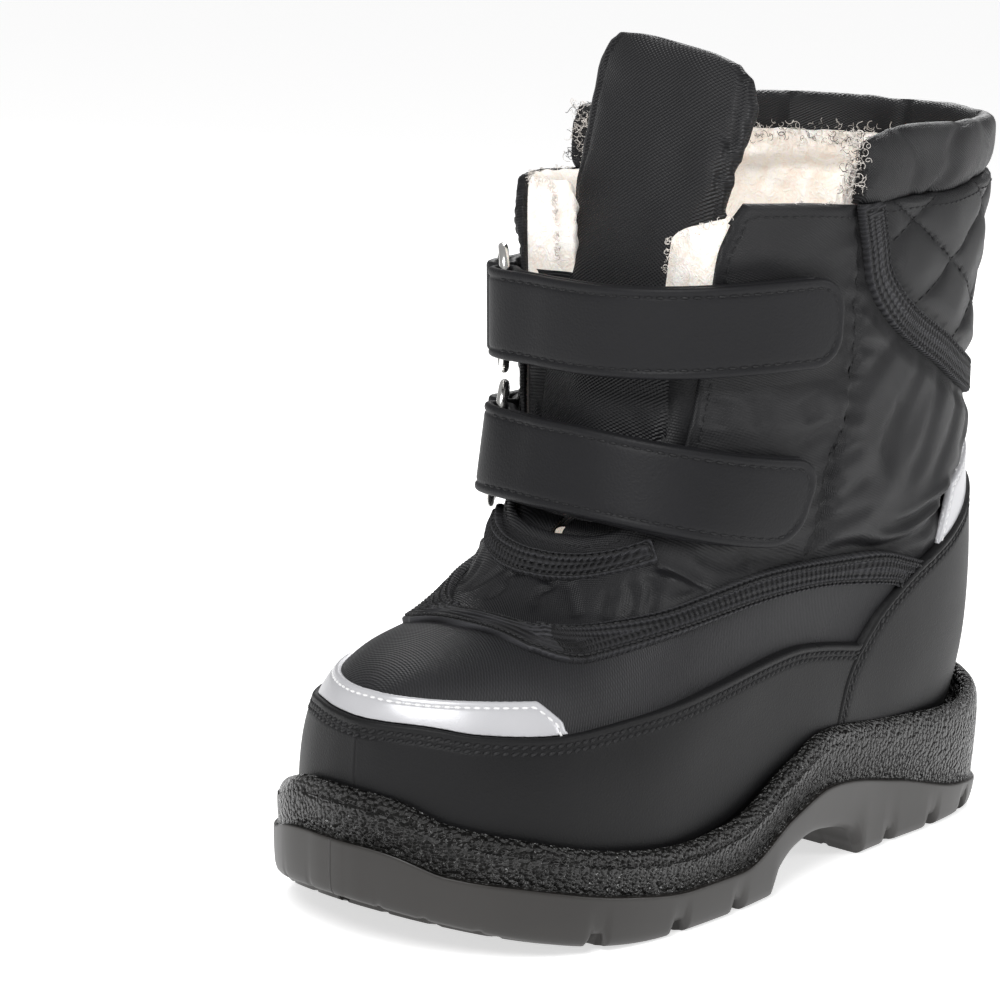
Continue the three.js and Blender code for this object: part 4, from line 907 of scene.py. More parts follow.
def iso_chains(net, faces, values, level, heights, shortest=6.0, wanted=None):
    """Chains on the raised surface where a value over the net is at a level, with the ways out."""
    over = values - level
    over = np.where(np.abs(over) < 1e-6, 1e-6, over)
    links = {}
    for tri in faces[np.isin((over[faces] > 0).sum(1), (1, 2))].tolist():
        ends = [(min(p, q), max(p, q)) for p,
                q in zip(tri, tri[1:] + tri[:1]) if (over[p] > 0) != (over[q] > 0)]
        links.setdefault(ends[0], []).append(ends[1])
        links.setdefault(ends[1], []).append(ends[0])
    seen, chains = set(), []
    for first in [key for key, near in links.items() if len(near) == 1] + list(links):
        if first in seen:
            continue
        chain = [first]
        seen.add(first)
        while True:
            onward = [key for key in links[chain[-1]] if key not in seen]
            if not onward:
                break
            chain.append(onward[0])
            seen.add(onward[0])
        if len(chain) > 2 and first in links[chain[-1]] and len(links[first]) > 1:
            chain.append(first)
        pairs = np.array(chain)
        p, q = pairs[:, 0], pairs[:, 1]
        t = (over[p] / (over[p] - over[q]))[:, None]
        step = net[q] - net[p]
        step[:, 1] = (step[:, 1] + 0.5) % 1 - 0.5
        place = net[p] + t * step
        up = last_normal(place[:, 0], place[:, 1])
        line = last_point(place[:, 0],
                          place[:, 1]) + up * (heights[p] + t[:, 0] * (heights[q] - heights[p]))[:, None]
        if wanted is not None:
            keep = wanted(line)
            line, up = line[keep], up[keep]
        if len(line) > 2 and np.linalg.norm(np.diff(line, axis=0), axis=1).sum() > shortest:
            chains.append((line, up))
    return chains


def thread_material(name, colour, sheen=0.2):
    """Twisted thread: fine slanting plies on the capsule, by a wave in object space."""
    material, tree, shader = new_material(name, 0.55, colour)
    place = add_node(tree, "ShaderNodeTexCoord").outputs["Object"]
    plies = add_node(tree, "ShaderNodeTexWave", {"bands_direction": "DIAGONAL"}, Vector=place, Scale=700.0)
    bump = add_node(tree, "ShaderNodeBump", Strength=0.4, Distance=0.0001, Height=plies.outputs["Fac"])
    tone = add_node(tree, "ShaderNodeMapRange", Value=plies.outputs["Fac"], To_Min=0.5, To_Max=0.65)
    tree.links.new(tone.outputs[0], shader.inputs["Roughness"])
    tree.links.new(bump.outputs[0], shader.inputs["Normal"])
    shader.inputs["Sheen Weight"].default_value = sheen
    return material


black_thread = thread_material("black_thread", (0.012, 0.012, 0.013), 0)
white_thread = thread_material("white_thread", (0.8, 0.8, 0.8))
add_stitches("shaft_edge_stitches", iso_chains(*shaft_rim), black_thread, 2.2, 1.7, 0.45)
chains = []
for rows in quilt_lines[2]:
    whole = quilt_lines[1][~np.isnan(rows[quilt_lines[1]]).any(1)]
    for level in range(-4, 5):
        chains += iso_chains(quilt_lines[0], whole, np.nan_to_num(rows, nan=99.0), level, quilt_lines[3])
add_stitches("quilting_stitches", chains, black_thread, 2.4, 1.9, 0.45)
seam_net = quilt_lines[0]
seam_points = last_point(seam_net[:, 0], seam_net[:, 1])
chains = []
for side in (-1, 1):
    line = surface_line(SIDE_SEAM, side, 60)
    near = [np.argmin(((seam_points - p) ** 2).sum(1)) for p in line]
    ways = last_normal(seam_net[near, 0], seam_net[near, 1])
    chains.append((line + ways * quilt_lines[3][near][:, None], ways))
add_stitches("side_seam_stitches", chains, black_thread, 2.2, 1.8, 0.5)


# Overlays
# Patches on the upper, cut to an outline of the side view. Each is a closed layer with a rounded edge, raised
# where its edge is folded under and sunk where it is stitched.
def overlay(name, area, thickness, material, replaces, low=0.0, high=1.0, step=0.8, rows=(), fold=0.0,
            hidden=None, edge=0.7, swell=None, uv=None):
    """Makes an overlay. Rows are distances of stitch rows from the edge. Returns net, faces, rim, heights."""
    net, faces, points = trimmed(*last_grid(step, low, high), *area)
    wanted = None if hidden is None else (lambda middle: ~hidden(middle))
    for level in (0.3, 0.8, *rows):
        rim = edge_distance(last_point(net[:, 0], net[:, 1]), faces, wanted)
        net, faces, _ = cut_along(net, faces, rim - level, keep_low=True)
    points = last_point(net[:, 0], net[:, 1])
    rim = edge_distance(points, faces, wanted)
    bottom = -0.3
    top = 0.3 + thickness
    heights = bottom + (top - bottom) * (0.3 + 0.7 * round_edge(rim, edge))
    if fold:
        heights += 0.22 * smooth((fold - rim) / 0.4) * smooth(rim / 0.6)
    for row in rows:
        heights -= 0.22 * np.exp(-(((rim - row) / 0.32) ** 2))
    if swell is not None:
        heights += swell(points, rim)
    made, made_faces = shell(net, faces, heights, np.full(len(net), bottom))
    coordinates = surface_uv(net) if uv is None else uv(points, rim)
    add_piece(name, made, made_faces, material, doubled(coordinates), replaces)
    return net, faces, rim, heights


def leather_material(name, base, scale=1.0):
    """Matte synthetic leather with a fine grain, faintly scuffed."""
    material, tree, shader = new_material(name, 0.5, base)
    place = add_node(tree, "ShaderNodeTexCoord").outputs["Object"]
    grain = add_node(tree, "ShaderNodeTexVoronoi", {"feature": "DISTANCE_TO_EDGE"}, Vector=place,
                     Scale=1500.0 * scale)
    pores = add_node(tree, "ShaderNodeTexNoise", Vector=place, Scale=1800.0 * scale, Detail=3.0)
    clouds = add_node(tree, "ShaderNodeTexNoise", Vector=place, Scale=45.0, Detail=4.0)
    height = math_node(tree, "ADD", math_node(tree, "MULTIPLY", grain.outputs["Distance"], 1.2),
                       pores.outputs[0])
    bump = add_node(tree, "ShaderNodeBump", Strength=0.35, Distance=0.00015, Height=height)
    light = tuple(min(1.0, c * 1.7) for c in base)
    shader.inputs["Specular IOR Level"].default_value = 0.2
    paint = add_node(tree, "ShaderNodeMix", {"data_type": "RGBA"}, Factor=clouds.outputs[0], i6=(*base, 1),
                     i7=(*light, 1))
    gloss = add_node(tree, "ShaderNodeMapRange", Value=clouds.outputs[0], To_Min=0.42, To_Max=0.58)
    tree.links.new(paint.outputs[2], shader.inputs["Base Color"])
    tree.links.new(gloss.outputs[0], shader.inputs["Roughness"])
    tree.links.new(bump.outputs[0], shader.inputs["Normal"])
    return material


rand_leather = leather_material("rand_leather", (0.006, 0.006, 0.0065))
LEATHER, WEBBING, REFLECTOR = 1.5, 1.3, 0.8


def over_sole(points):
    """Height over the line where the sole's cup hides the upper."""
    return points[:, 2] - side_height(SIDE_RIM, points[:, 0]) + 5


def tucked(middle):
    return over_sole(middle) < 1.5


def in_view(area):
    return lambda points: polygon_distance(points[:, [0, 2]], area)


# Toe rand
# Matte synthetic leather round the forefoot, with a folded top edge and two close rows of thick stitches.
rand = overlay("toe_rand_leather", [in_view(rand_area), over_sole, lambda p: -in_view(counter_area)(p)],
               LEATHER, rand_leather, ["toe_rand"], 0.0, 0.72, rows=(2.0, 3.2), fold=1.6,
               hidden=lambda m: tucked(m) | (polygon_distance(m[:, [0, 2]], counter_area) > -1))
for row in (2.0, 3.2):
    add_stitches(f"rand_stitches_{row:.0f}", iso_chains(rand[0], rand[1], rand[2], row, rand[3]),
                 black_thread,
                 1.9, 2.0, 0.85, 0.45)

# Heel counter
# The same leather round the heel, over the rand's and the instep band's ends.
counter = overlay("heel_counter_leather", [in_view(counter_area), over_sole], LEATHER, rand_leather,
                  ["heel_counter"], 0.3, 0.95, rows=(2.0, 3.2), fold=1.6, hidden=tucked)
for row in (2.0, 3.2):
    add_stitches(f"counter_stitches_{row:.0f}",
                 iso_chains(counter[0], counter[1], counter[2], row, counter[3]),
                 black_thread, 1.9, 2.0, 0.85, 0.45)


# Instep band
# A ribbed webbing band across the instep and down both sides: cords between two rows of chain stitch.
def webbing_material(name, dark, light):
    """Knitted cords: u runs across the band and v along it, both in millimetres. Their colour is painted
    light on the cords, with painted shade between them.
    """
    material, tree, shader = new_material(name, 0.7)
    parts = add_node(tree, "ShaderNodeSeparateXYZ",
                     i0=add_node(tree, "ShaderNodeUVMap", {"uv_map": "surface"}).outputs[0])
    across, along_it = parts.outputs[0], parts.outputs[1]
    cord = math_node(tree, "SINE", math_node(tree, "MULTIPLY", across, 2 * math.pi / 1.5))
    zigzag = math_node(tree, "ABSOLUTE",
                       math_node(tree, "SINE", math_node(tree, "MULTIPLY", across, math.pi / 1.5)))
    slant = math_node(tree, "ADD", math_node(tree, "MULTIPLY", along_it, 2 * math.pi / 1.3),
                      math_node(tree, "MULTIPLY", zigzag, 2.2))
    loops = math_node(tree, "SINE", slant)
    height = math_node(tree, "ADD", cord, math_node(tree, "MULTIPLY", loops, 0.7))
    bump = add_node(tree, "ShaderNodeBump", Strength=1.0, Distance=0.0005, Height=height)
    # Painted light: the colour follows the relief, with painted highlight on the cords and painted shade in
    # the grooves.
    shade = add_node(tree, "ShaderNodeMapRange", Value=height, From_Min=-1.6, From_Max=1.6)
    paint = add_node(tree, "ShaderNodeMix", {"data_type": "RGBA"}, Factor=shade.outputs[0], i6=(*dark, 1),
                     i7=(*light, 1))
    tree.links.new(paint.outputs[2], shader.inputs["Base Color"])
    tree.links.new(bump.outputs[0], shader.inputs["Normal"])
    shader.inputs["Sheen Weight"].default_value = 0.03
    return material


webbing = webbing_material("ribbed_webbing", (0.002, 0.002, 0.0025), (0.045, 0.045, 0.05))


def along_uv(line):
    """Coordinates of a band: distance from its edge, and length along its middle line."""
    length = np.linalg.norm(np.diff(line, axis=0), axis=1).sum()

    def coordinates(points, rim):
        _, share = line_distance(points, line)
        return np.stack([rim, share * length], 1)

    return coordinates


def ribs(points, rim):
    return 0.3 * np.cos(2 * np.pi * rim / 1.5) * smooth((rim - 0.5) / 0.5)


BAND_MIDDLE = [(48, 60.5), (30, 64.5), (0, 66), (-30, 62.5), (-50, 58.8), (-57, 57.6)]
band_half = surface_line(BAND_MIDDLE, -1, 40)
other_half = surface_line(BAND_MIDDLE, 1, 40)[::-1]
band_line = np.concatenate([band_half, other_half])
band = overlay("instep_webbing", [in_view(band_area), lambda p: -in_view(counter_area)(p)], WEBBING, webbing,
               ["instep_band"], 0.15, 0.8, step=0.7, rows=(1.3,), swell=ribs,
               uv=along_uv(band_line),
               hidden=lambda m: polygon_distance(m[:, [0, 2]], counter_area) > -0.8)
add_stitches("instep_band_stitches", iso_chains(band[0], band[1], band[2], 1.3, band[3]), black_thread, 1.5,
             1.7, 0.7)

# Throat band
# The same webbing, narrower, under the tongue's root.
THROAT_BAND = [(-0.265, 0.466), (-0.211, 0.451), (-0.139, 0.439), (-0.06, 0.433), (0, 0.432), (0.06, 0.433),
               (0.139, 0.439), (0.211, 0.451), (0.265, 0.466)]
throat_band_area = ribbon(THROAT_BAND, 5.2, 30, FRONT_VIEW)


def in_front_view(points):
    inside = polygon_distance(points[:, 1:] - (SIDE_SHIFT, 0), throat_band_area)
    return np.where(points[:, 0] < -16, inside, -20.0)


band_line = last_point(np.full(60, 0.47), np.linspace(-0.16, 0.16, 60) % 1)
band = overlay("throat_webbing", [in_front_view], WEBBING, webbing, ["throat_band"], 0.3, 0.7,
               step=0.6,
               rows=(1.0,), swell=ribs, uv=along_uv(band_line))
add_stitches("throat_band_stitches", iso_chains(band[0], band[1], band[2], 1.0, band[3]), black_thread, 1.5,
             1.7, 0.6)

# Quarter bands
# A dense knitted band from the cuff's front end down round the back, on both sides, with a dotted row
# at each edge.
knit = webbing_material("knitted_webbing", (0.002, 0.002, 0.0025), (0.045, 0.045, 0.05))
for side, name in ((-1, "lateral"), (1, "medial")):
    band_line = surface_line([(12.8, 146), (16, 136.8), (25, 123), (34, 117.4), (45.6, 112.2), (56, 107.2),
                              (68, 103), (80, 100.5), (88, 99.6)], side, 60)
    half = [in_view(quarter_area), lambda p, s=side: (p[:, 1] - SIDE_SHIFT) * s - 3.6,
            lambda p: collar_height(p[:, 0]) - p[:, 2]]
    band = overlay(f"quarter_webbing_{name}", half, WEBBING, knit, [f"quarter_band_{name}"], 0.6,
                   1.0,
                   step=0.7, rows=(1.1,), uv=along_uv(band_line))
    add_stitches(f"quarter_stitches_{name}", iso_chains(band[0], band[1], band[2], 1.1, band[3]),
                 black_thread,
                 1.8, 1.0, 0.6)

# Back stay
# A narrow webbing strip up the middle of the back, from the reflector to the cuff.
band_line = last_point(np.linspace(0.6, 1.0, 50), np.full(50, 0.5))
stay = [lambda p: 4 - np.abs(p[:, 1] - SIDE_SHIFT), lambda p: p[:, 0] - 50, lambda p: p[:, 2] - 93.3,
        lambda p: collar_height(p[:, 0]) - p[:, 2]]
band = overlay("back_stay_webbing", stay, WEBBING, knit, ["back_stay"], 0.5, 1.0, step=0.7,
               rows=(1.1,),
               uv=along_uv(band_line))
add_stitches("back_stay_stitches", iso_chains(band[0], band[1], band[2], 1.1, band[3]), black_thread, 1.8,
             1.2, 0.5)


# Reflectors
# Plain silver tape over the toe and round the heel, with a white stitched row below its top edge.
def tape_material(name):
    """Retroreflective tape: pale satin grey over tiny beads."""
    material, tree, shader = new_material(name, 0.32)
    place = add_node(tree, "ShaderNodeTexCoord").outputs["Object"]
    beads = add_node(tree, "ShaderNodeTexVoronoi", Vector=place, Scale=3500.0)
    clouds = add_node(tree, "ShaderNodeTexNoise", Vector=place, Scale=60.0, Detail=4.0)
    bump = add_node(tree, "ShaderNodeBump", Strength=0.12, Distance=0.0001, Height=beads.outputs["Distance"])
    paint = add_node(tree, "ShaderNodeMix", {"data_type": "RGBA"}, Factor=clouds.outputs[0],
                     i6=(0.48, 0.48, 0.5, 1),
                     i7=(0.62, 0.62, 0.64, 1))
    tree.links.new(paint.outputs[2], shader.inputs["Base Color"])
    tree.links.new(bump.outputs[0], shader.inputs["Normal"])
    shader.inputs["Metallic"].default_value = 0.25
    return material


tape = tape_material("reflective_tape")
toe_tape_area = np.array([(-0.55, 0.25), (-0.55, 0.316), (-0.42, 0.313), (-0.353, 0.311), (-0.337, 0.287),
                          (-0.337, 0.25)]) * SIDE_VIEW
tape_piece = overlay("toe_reflector_tape", [in_view(toe_tape_area), lambda p: -in_view(rand_area)(p) - 0.1],
                     REFLECTOR,
                     tape, ["toe_reflector"], 0.0, 0.4, step=0.6, rows=(1.6,),
                     hidden=lambda m: polygon_distance(m[:, [0, 2]], rand_area) > -0.8)
add_stitches("toe_reflector_stitches",
             iso_chains(tape_piece[0], tape_piece[1], tape_piece[2], 1.6, tape_piece[3]),
             white_thread, 1.9, 1.6, 0.6)
tape_piece = overlay("heel_reflector_tape",
                     [in_view(heel_tape_area), lambda p: -in_view(counter_area)(p) - 0.1],
                     REFLECTOR, tape, ["heel_reflector"], 0.3, 0.98, step=0.7, rows=(1.6,),
                     hidden=lambda m: polygon_distance(m[:, [0, 2]], counter_area) > -0.8)
add_stitches("heel_reflector_stitches",
             iso_chains(tape_piece[0], tape_piece[1], tape_piece[2], 1.6, tape_piece[3]),
             white_thread, 1.9, 1.6, 0.6)


# Straps, rings and tabs
# A strap leaves the front quarter under its own outer layer, crosses the tongue, folds round the steel ring
# on the inner side and comes back over itself to the outer side. A short tab holds the ring from behind.
STRAP_WIDTH, STRAP_THICKNESS, STRAP_LIFT, LAYER_GAP = 19, 1.6, 0.5, 0.4
STRAP_BASE_REACH, STRAP_END_RADIUS = 50, 7
UPPER_STRAP_END, LOWER_STRAP_END = 57, 55
RING_PLACE, RING_WIDTH, RING_HEIGHT, RING_WIRE, RING_PLAY, RING_SPACING = 27, 12, 28, 2.2, 0.6, 1.6
TAB_LENGTH, TAB_END_RADIUS = 22, 6
BASE_LEVEL = STRAP_LIFT + STRAP_THICKNESS / 2
FOLD_RADIUS = (RING_WIRE + STRAP_THICKNESS) / 2 + RING_PLAY
BAR_LEVEL = BASE_LEVEL + FOLD_RADIUS
TOP_LEVEL = BASE_LEVEL + STRAP_THICKNESS + LAYER_GAP
BAR_OFFSET = (RING_WIDTH - RING_WIRE) / 2
FOLD_SETTLE = 10


def shaft_place(turn, z):
    """Points and ways out on the shaft at turns round it and heights."""
    turn, z = np.broadcast_arrays(np.asarray(turn, float), np.asarray(z, float))
    low, high = np.full(turn.shape, 0.38), np.ones(turn.shape)
    for _ in range(26):
        middle = (low + high) / 2
        under_it = last_point(middle, turn)[..., 2] < z
        low, high = np.where(under_it, middle, low), np.where(under_it, high, middle)
    return last_point(low, turn), last_normal(low, turn)


def unit(v):
    return v / np.linalg.norm(v, axis=-1, keepdims=True)


def wrap_for(height, rise, end):
    """A strap's seat: a function of arc, share of the width and level, and the flat frame of its ring."""
    def middle_z(arc):
        return height + COLLAR_HEIGHT * rise * smooth(arc / end)

    walks = {}
    for way in (1, -1):
        arcs, turns = [0.0], [0.0]
        before = shaft_place(0, middle_z(0.0))[0]
        for k in range(1, 70):
            here = shaft_place(way * 0.004 * k, middle_z(way * arcs[-1]))[0]
            arcs.append(arcs[-1] + np.linalg.norm(here - before))
            turns.append(way * 0.004 * k)
            before = here
        walks[way] = (arcs, turns)

    def edge_of(arc, side, level):
        turn = np.where(arc < 0, np.interp(-arc, *walks[-1]), np.interp(arc, *walks[1]))
        z = middle_z(arc)
        steep = np.hypot(*np.moveaxis(shaft_place(turn, z)[1][..., :2], -1, 0))
        point, normal = shaft_place(turn, z + side * STRAP_WIDTH * steep / 2)
        return point + normal * level[..., None]

    def on_shaft(arc, share, level):
        arc, share, level = np.broadcast_arrays(*(np.asarray(v, float) for v in (arc, share, level)))
        t = ((share + 1) / 2)[..., None]
        return edge_of(arc, -1, level) * (1 - t) + edge_of(arc, 1, level) * t

    centre = on_shaft(-RING_PLACE, 0, BAR_LEVEL)
    across = unit(on_shaft(-RING_PLACE + BAR_OFFSET, 0, BAR_LEVEL) - on_shaft(-RING_PLACE - BAR_OFFSET, 0,
                                                                              BAR_LEVEL))
    up = on_shaft(-RING_PLACE, 1, BAR_LEVEL) - on_shaft(-RING_PLACE, -1, BAR_LEVEL)
    up = unit(up - across * (up @ across))
    out = np.cross(across, up)

    def wrap(arc, share, level):
        arc, share, level = np.broadcast_arrays(*(np.asarray(v, float) for v in (arc, share, level)))
        flat_place = (centre + across * (arc + RING_PLACE)[..., None] + up * (share * STRAP_WIDTH / 2)[...,
                                                                                                       None]
                      + out * (level - BAR_LEVEL)[..., None])
        curve = smooth((np.abs(arc + RING_PLACE) - BAR_OFFSET - FOLD_RADIUS) / FOLD_SETTLE)[..., None]
        return flat_place * (1 - curve) + on_shaft(arc, share, level) * curve

    return wrap, centre, across, up, out


def folded_strip(wrap, bar, way, base_end, top_end, radius, belly=0.0):
    """A strip folded round a bar of the ring, with soft edges, a folded rim and a sunk stitch row."""
    line = [(arc, BASE_LEVEL) for arc in np.linspace(base_end, bar, 24)[:-1]]
    line += [(bar - way * FOLD_RADIUS * math.cos(a), BAR_LEVEL + FOLD_RADIUS * math.sin(a))
             for a in np.linspace(-math.pi / 2, math.pi / 2, 15)]
    straight = abs(top_end - bar) - radius
    arcs = list(np.linspace(0, straight, int(straight / 1.5))[1:])
    arcs += [straight + radius * s for s in (0.15, 0.3, 0.43, 0.55, 0.66, 0.76, 0.85, 0.92, 0.97, 0.995)]
    top_start = len(line)
    for arc in arcs:
        lift = (BAR_LEVEL + FOLD_RADIUS - TOP_LEVEL) * (1 - smooth(arc / FOLD_SETTLE))
        line.append((bar + way * arc, TOP_LEVEL + lift))
    line = np.array(line)
    run = np.empty_like(line)
    run[1:-1] = line[2:] - line[:-2]
    run[0], run[-1] = line[1] - line[0], line[-1] - line[-2]
    run = unit(run)
    half = STRAP_WIDTH / 2
    from_edge = np.array([0, 0.12, 0.35, 0.75, 1.2, 1.6, 1.95, 2.3, 2.8, 4.0, 5.5, 7.2])
    spread = np.concatenate([from_edge - half, [0], (half - from_edge)[::-1]])
    arcs_all, y_all, level_all = [], [], []
    for k, (arc, level) in enumerate(line):
        from_end = abs(top_end - arc) if k >= top_start else 99.0
        missing = max(0.0, radius - from_end)
        share = (half - radius + math.sqrt(max(radius**2 - missing**2, 0))) / half
        y = spread * share
        qx, qy = radius - from_end, radius - (half - np.abs(y))
        inside = radius - np.hypot(np.maximum(qx, 0), np.maximum(qy, 0)) - np.minimum(np.maximum(qx, qy), 0)
        soft = 0.3 + 0.7 * round_edge(np.clip(inside, 0, 9), 0.75)
        body = STRAP_THICKNESS / 2 * soft
        upper_side = body + 0.16 * smooth((1.9 - inside) / 0.5) * smooth(inside / 0.5)
        upper_side = upper_side - 0.24 * np.exp(-(((inside - 1.95) / 0.3) ** 2))
        if k >= top_start:
            upper_side = upper_side + belly * np.sin(arc * 0.13 + 1) * (1 - (y / half) ** 2)
        rise = np.concatenate([upper_side, -body[::-1]])
        arcs_all.append(arc - run[k, 1] * rise)
        y_all.append(np.concatenate([y, y[::-1]]) / half)
        level_all.append(level + run[k, 0] * rise)
    laid = wrap(np.array(arcs_all), np.array(y_all), np.array(level_all))
    rings = list(laid)
    n = len(rings[0])
    points = np.concatenate(rings)
    faces = []
    for k in range(len(rings) - 1):
        for j in range(n):
            a, b = k * n + j, k * n + (j + 1) % n
            faces.append((a, a + n, b + n, b) if way > 0 else (a, b, b + n, a + n))
    w = len(spread)
    for k, turned in ((0, way < 0), (len(rings) - 1, way > 0)):
        for j in range(w - 1):
            quad = (k * n + j, k * n + j + 1, k * n + n - 2 - j, k * n + n - 1 - j)
            faces.append(quad if turned else quad[::-1])
    arc_uv = np.repeat(np.concatenate([[0], np.cumsum(np.linalg.norm(np.diff(line, axis=0), axis=1))]), n)
    uv = np.stack([np.tile(np.concatenate([spread, spread[::-1] + 40]), len(rings)), arc_uv], 1)
    return points, faces, uv


def strap_stitch_path(wrap, bar, way, top_end, radius, inset=1.95):
    """The stitch row of a strap's outer layer: out along one edge, round the end and back."""
    half = STRAP_WIDTH / 2
    r = radius - inset
    rows = [(bar + way * a, -(half - inset)) for a in np.linspace(6, abs(top_end - bar) - radius, 40)]
    corner = top_end - way * radius
    rows += [(corner + way * r * math.sin(t),
              -(half - radius) - r * math.cos(t)) for t in np.linspace(0.1, math.pi / 2, 8)]
    rows += [(corner + way * r * math.sin(t),
              (half - radius) + r * math.cos(t)) for t in np.linspace(math.pi / 2, 0.1, 8)]
    rows += [(bar + way * a, half - inset) for a in np.linspace(abs(top_end - bar) - radius, 6, 40)]
    rows = np.array(rows)
    lift = (BAR_LEVEL + FOLD_RADIUS - TOP_LEVEL) * (1 - smooth(np.abs(rows[:, 0] - bar) / FOLD_SETTLE))
    low = wrap(rows[:, 0], rows[:, 1] / half, TOP_LEVEL + lift + STRAP_THICKNESS / 2 - 0.15)
    high = wrap(rows[:, 0], rows[:, 1] / half, TOP_LEVEL + lift + STRAP_THICKNESS / 2 + 1)
    return low, unit(high - low)


steel, steel_tree, steel_shader = new_material("ring_steel", 0.16, (0.78, 0.77, 0.75))
steel_shader.inputs["Metallic"].default_value = 1
steel_place = add_node(steel_tree, "ShaderNodeTexCoord").outputs["Object"]
steel_smears = add_node(steel_tree, "ShaderNodeTexNoise", Vector=steel_place, Scale=400.0, Detail=4.0)
steel_gloss = add_node(steel_tree, "ShaderNodeMapRange", Value=steel_smears.outputs[0], To_Min=0.12,
                       To_Max=0.26)
steel_tree.links.new(steel_gloss.outputs[0], steel_shader.inputs["Roughness"])
strap_leather = leather_material("strap_leather", (0.008, 0.008, 0.009), 0.8)

STRAP_HEIGHT = 0.7375 * COLLAR_HEIGHT
for name, height, rise, end in (("upper", STRAP_HEIGHT, 0.022, UPPER_STRAP_END),
                                ("lower", STRAP_HEIGHT - RING_HEIGHT - RING_SPACING, -0.032,
                                 LOWER_STRAP_END)):
    wrap, centre, across, up, out = wrap_for(height, rise, end)
    bar = -RING_PLACE + BAR_OFFSET
    points, faces, uv = folded_strip(wrap, bar, 1, STRAP_BASE_REACH, end, STRAP_END_RADIUS, 0.12)
    add_piece(f"strap_{name}_leather", points, faces, strap_leather, uv,
              [f"strap_{name}"])
    add_stitches(f"strap_{name}_stitches", [strap_stitch_path(wrap, bar, 1, end, STRAP_END_RADIUS)],
                 black_thread,
                 2.5, 1.9, 0.6)
    bar = -RING_PLACE - BAR_OFFSET
    tab_end = bar - TAB_LENGTH
    points, faces, uv = folded_strip(wrap, bar, -1, tab_end + TAB_END_RADIUS, tab_end, TAB_END_RADIUS)
    add_piece(f"tab_{name}_leather", points, faces, strap_leather, uv, [f"tab_{name}"])
    add_stitches(f"tab_{name}_stitches", [strap_stitch_path(wrap, bar, -1, tab_end, TAB_END_RADIUS)],
                 black_thread,
                 2.5, 1.9, 0.6)
    sections = []
    half_straight = (RING_HEIGHT - RING_WIDTH) / 2
    for side in (1, -1):
        for angle in np.linspace(0, math.pi, 25) + (0 if side > 0 else math.pi):
            radial = across * math.cos(angle) + up * math.sin(angle)
            middle = centre + radial * BAR_OFFSET + up * side * half_straight
            roll = np.linspace(0, 2 * math.pi, 17)[:-1, None]
            sections.append(middle + (radial * np.cos(roll) + out * np.sin(roll)) * RING_WIRE / 2)
    n, m = 16, len(sections)
    ring_faces = [(k * n + j, ((k + 1) % m) * n + j, ((k + 1) % m) * n + (j + 1) % n, k * n + (j + 1) % n)
                  for k in range(m) for j in range(n)]
    add_piece(f"ring_{name}_steel", np.concatenate(sections), ring_faces, steel, None,
              [f"ring_{name}"])


# Tongue
# A tall padded tongue, thicker at its top. It is blown up as cloth from a slimmer form, then seamed.
TONGUE = {
    "z": [0.437, 0.5, 0.575, 0.675, 0.8, 0.938, 1.038, 1.082, 1.109, 1.122],
    "front": [-0.182, -0.1725, -0.1565, -0.134, -0.1025, -0.07, -0.0475, -0.04, -0.033, -0.024],
    "half": [0.35, 0.44, 0.52, 0.565, 0.57, 0.57, 0.58, 0.55, 0.46, 0.28],
    "thick": [0.47, 0.53, 0.58, 0.63, 0.72, 0.9, 1, 0.98, 0.74, 0.37],
    "bow": [0.55, 0.65, 0.7, 0.55, 0.32, 0.2, 0.16, 0.14, 0.1, 0.05],
}
TONGUE_WIDTH, TONGUE_THICKNESS, TONGUE_POWER = 40, 9.5, 3.4


def tongue_rings(steps, sides, slimmer=0.0):
    """Level rings of the tongue, all round, set in by an amount."""
    rings = []
    for i in range(steps + 1):
        row = {key: float(through_rows(values, np.array(i / steps * 9.0))) for key, values in TONGUE.items()}
        thick = max(row["thick"] * TONGUE_THICKNESS - 2 * slimmer, 1.2)
        angle = np.linspace(0, 2 * np.pi, sides, endpoint=False)
        c, s = np.cos(angle), np.sin(angle)
        across = np.sign(s) * np.abs(s) ** (2 / TONGUE_POWER)
        back = (thick / 2) * (1 - np.sign(c) * np.abs(c) ** (2 / TONGUE_POWER)) + slimmer
        back = back + row["bow"] * TONGUE_THICKNESS * across**2
        z = row["z"] * COLLAR_HEIGHT
        z = z + slimmer if i == 0 else z - slimmer * i / steps
        rings.append(np.stack([row["front"] * SOLE_LENGTH + back,
                               across * (row["half"] * TONGUE_WIDTH - slimmer) + SIDE_SHIFT,
                               np.full(sides, z)], 1))
    return rings


def tube(rings, turned=False):
    """A closed loft of rings with fans at both ends."""
    n, m = len(rings[0]), len(rings)
    points = np.concatenate([*rings, rings[0].mean(0)[None], rings[-1].mean(0)[None]])
    faces = [(k * n + j, k * n + (j + 1) % n, (k + 1) * n + (j + 1) % n, (k + 1) * n + j)
             for k in range(m - 1) for j in range(n)]
    faces += [((j + 1) % n, j, m * n) for j in range(n)]
    faces += [((m - 1) * n + j, (m - 1) * n + (j + 1) % n, m * n + 1) for j in range(n)]
    return points, [f[::-1] for f in faces] if turned else faces


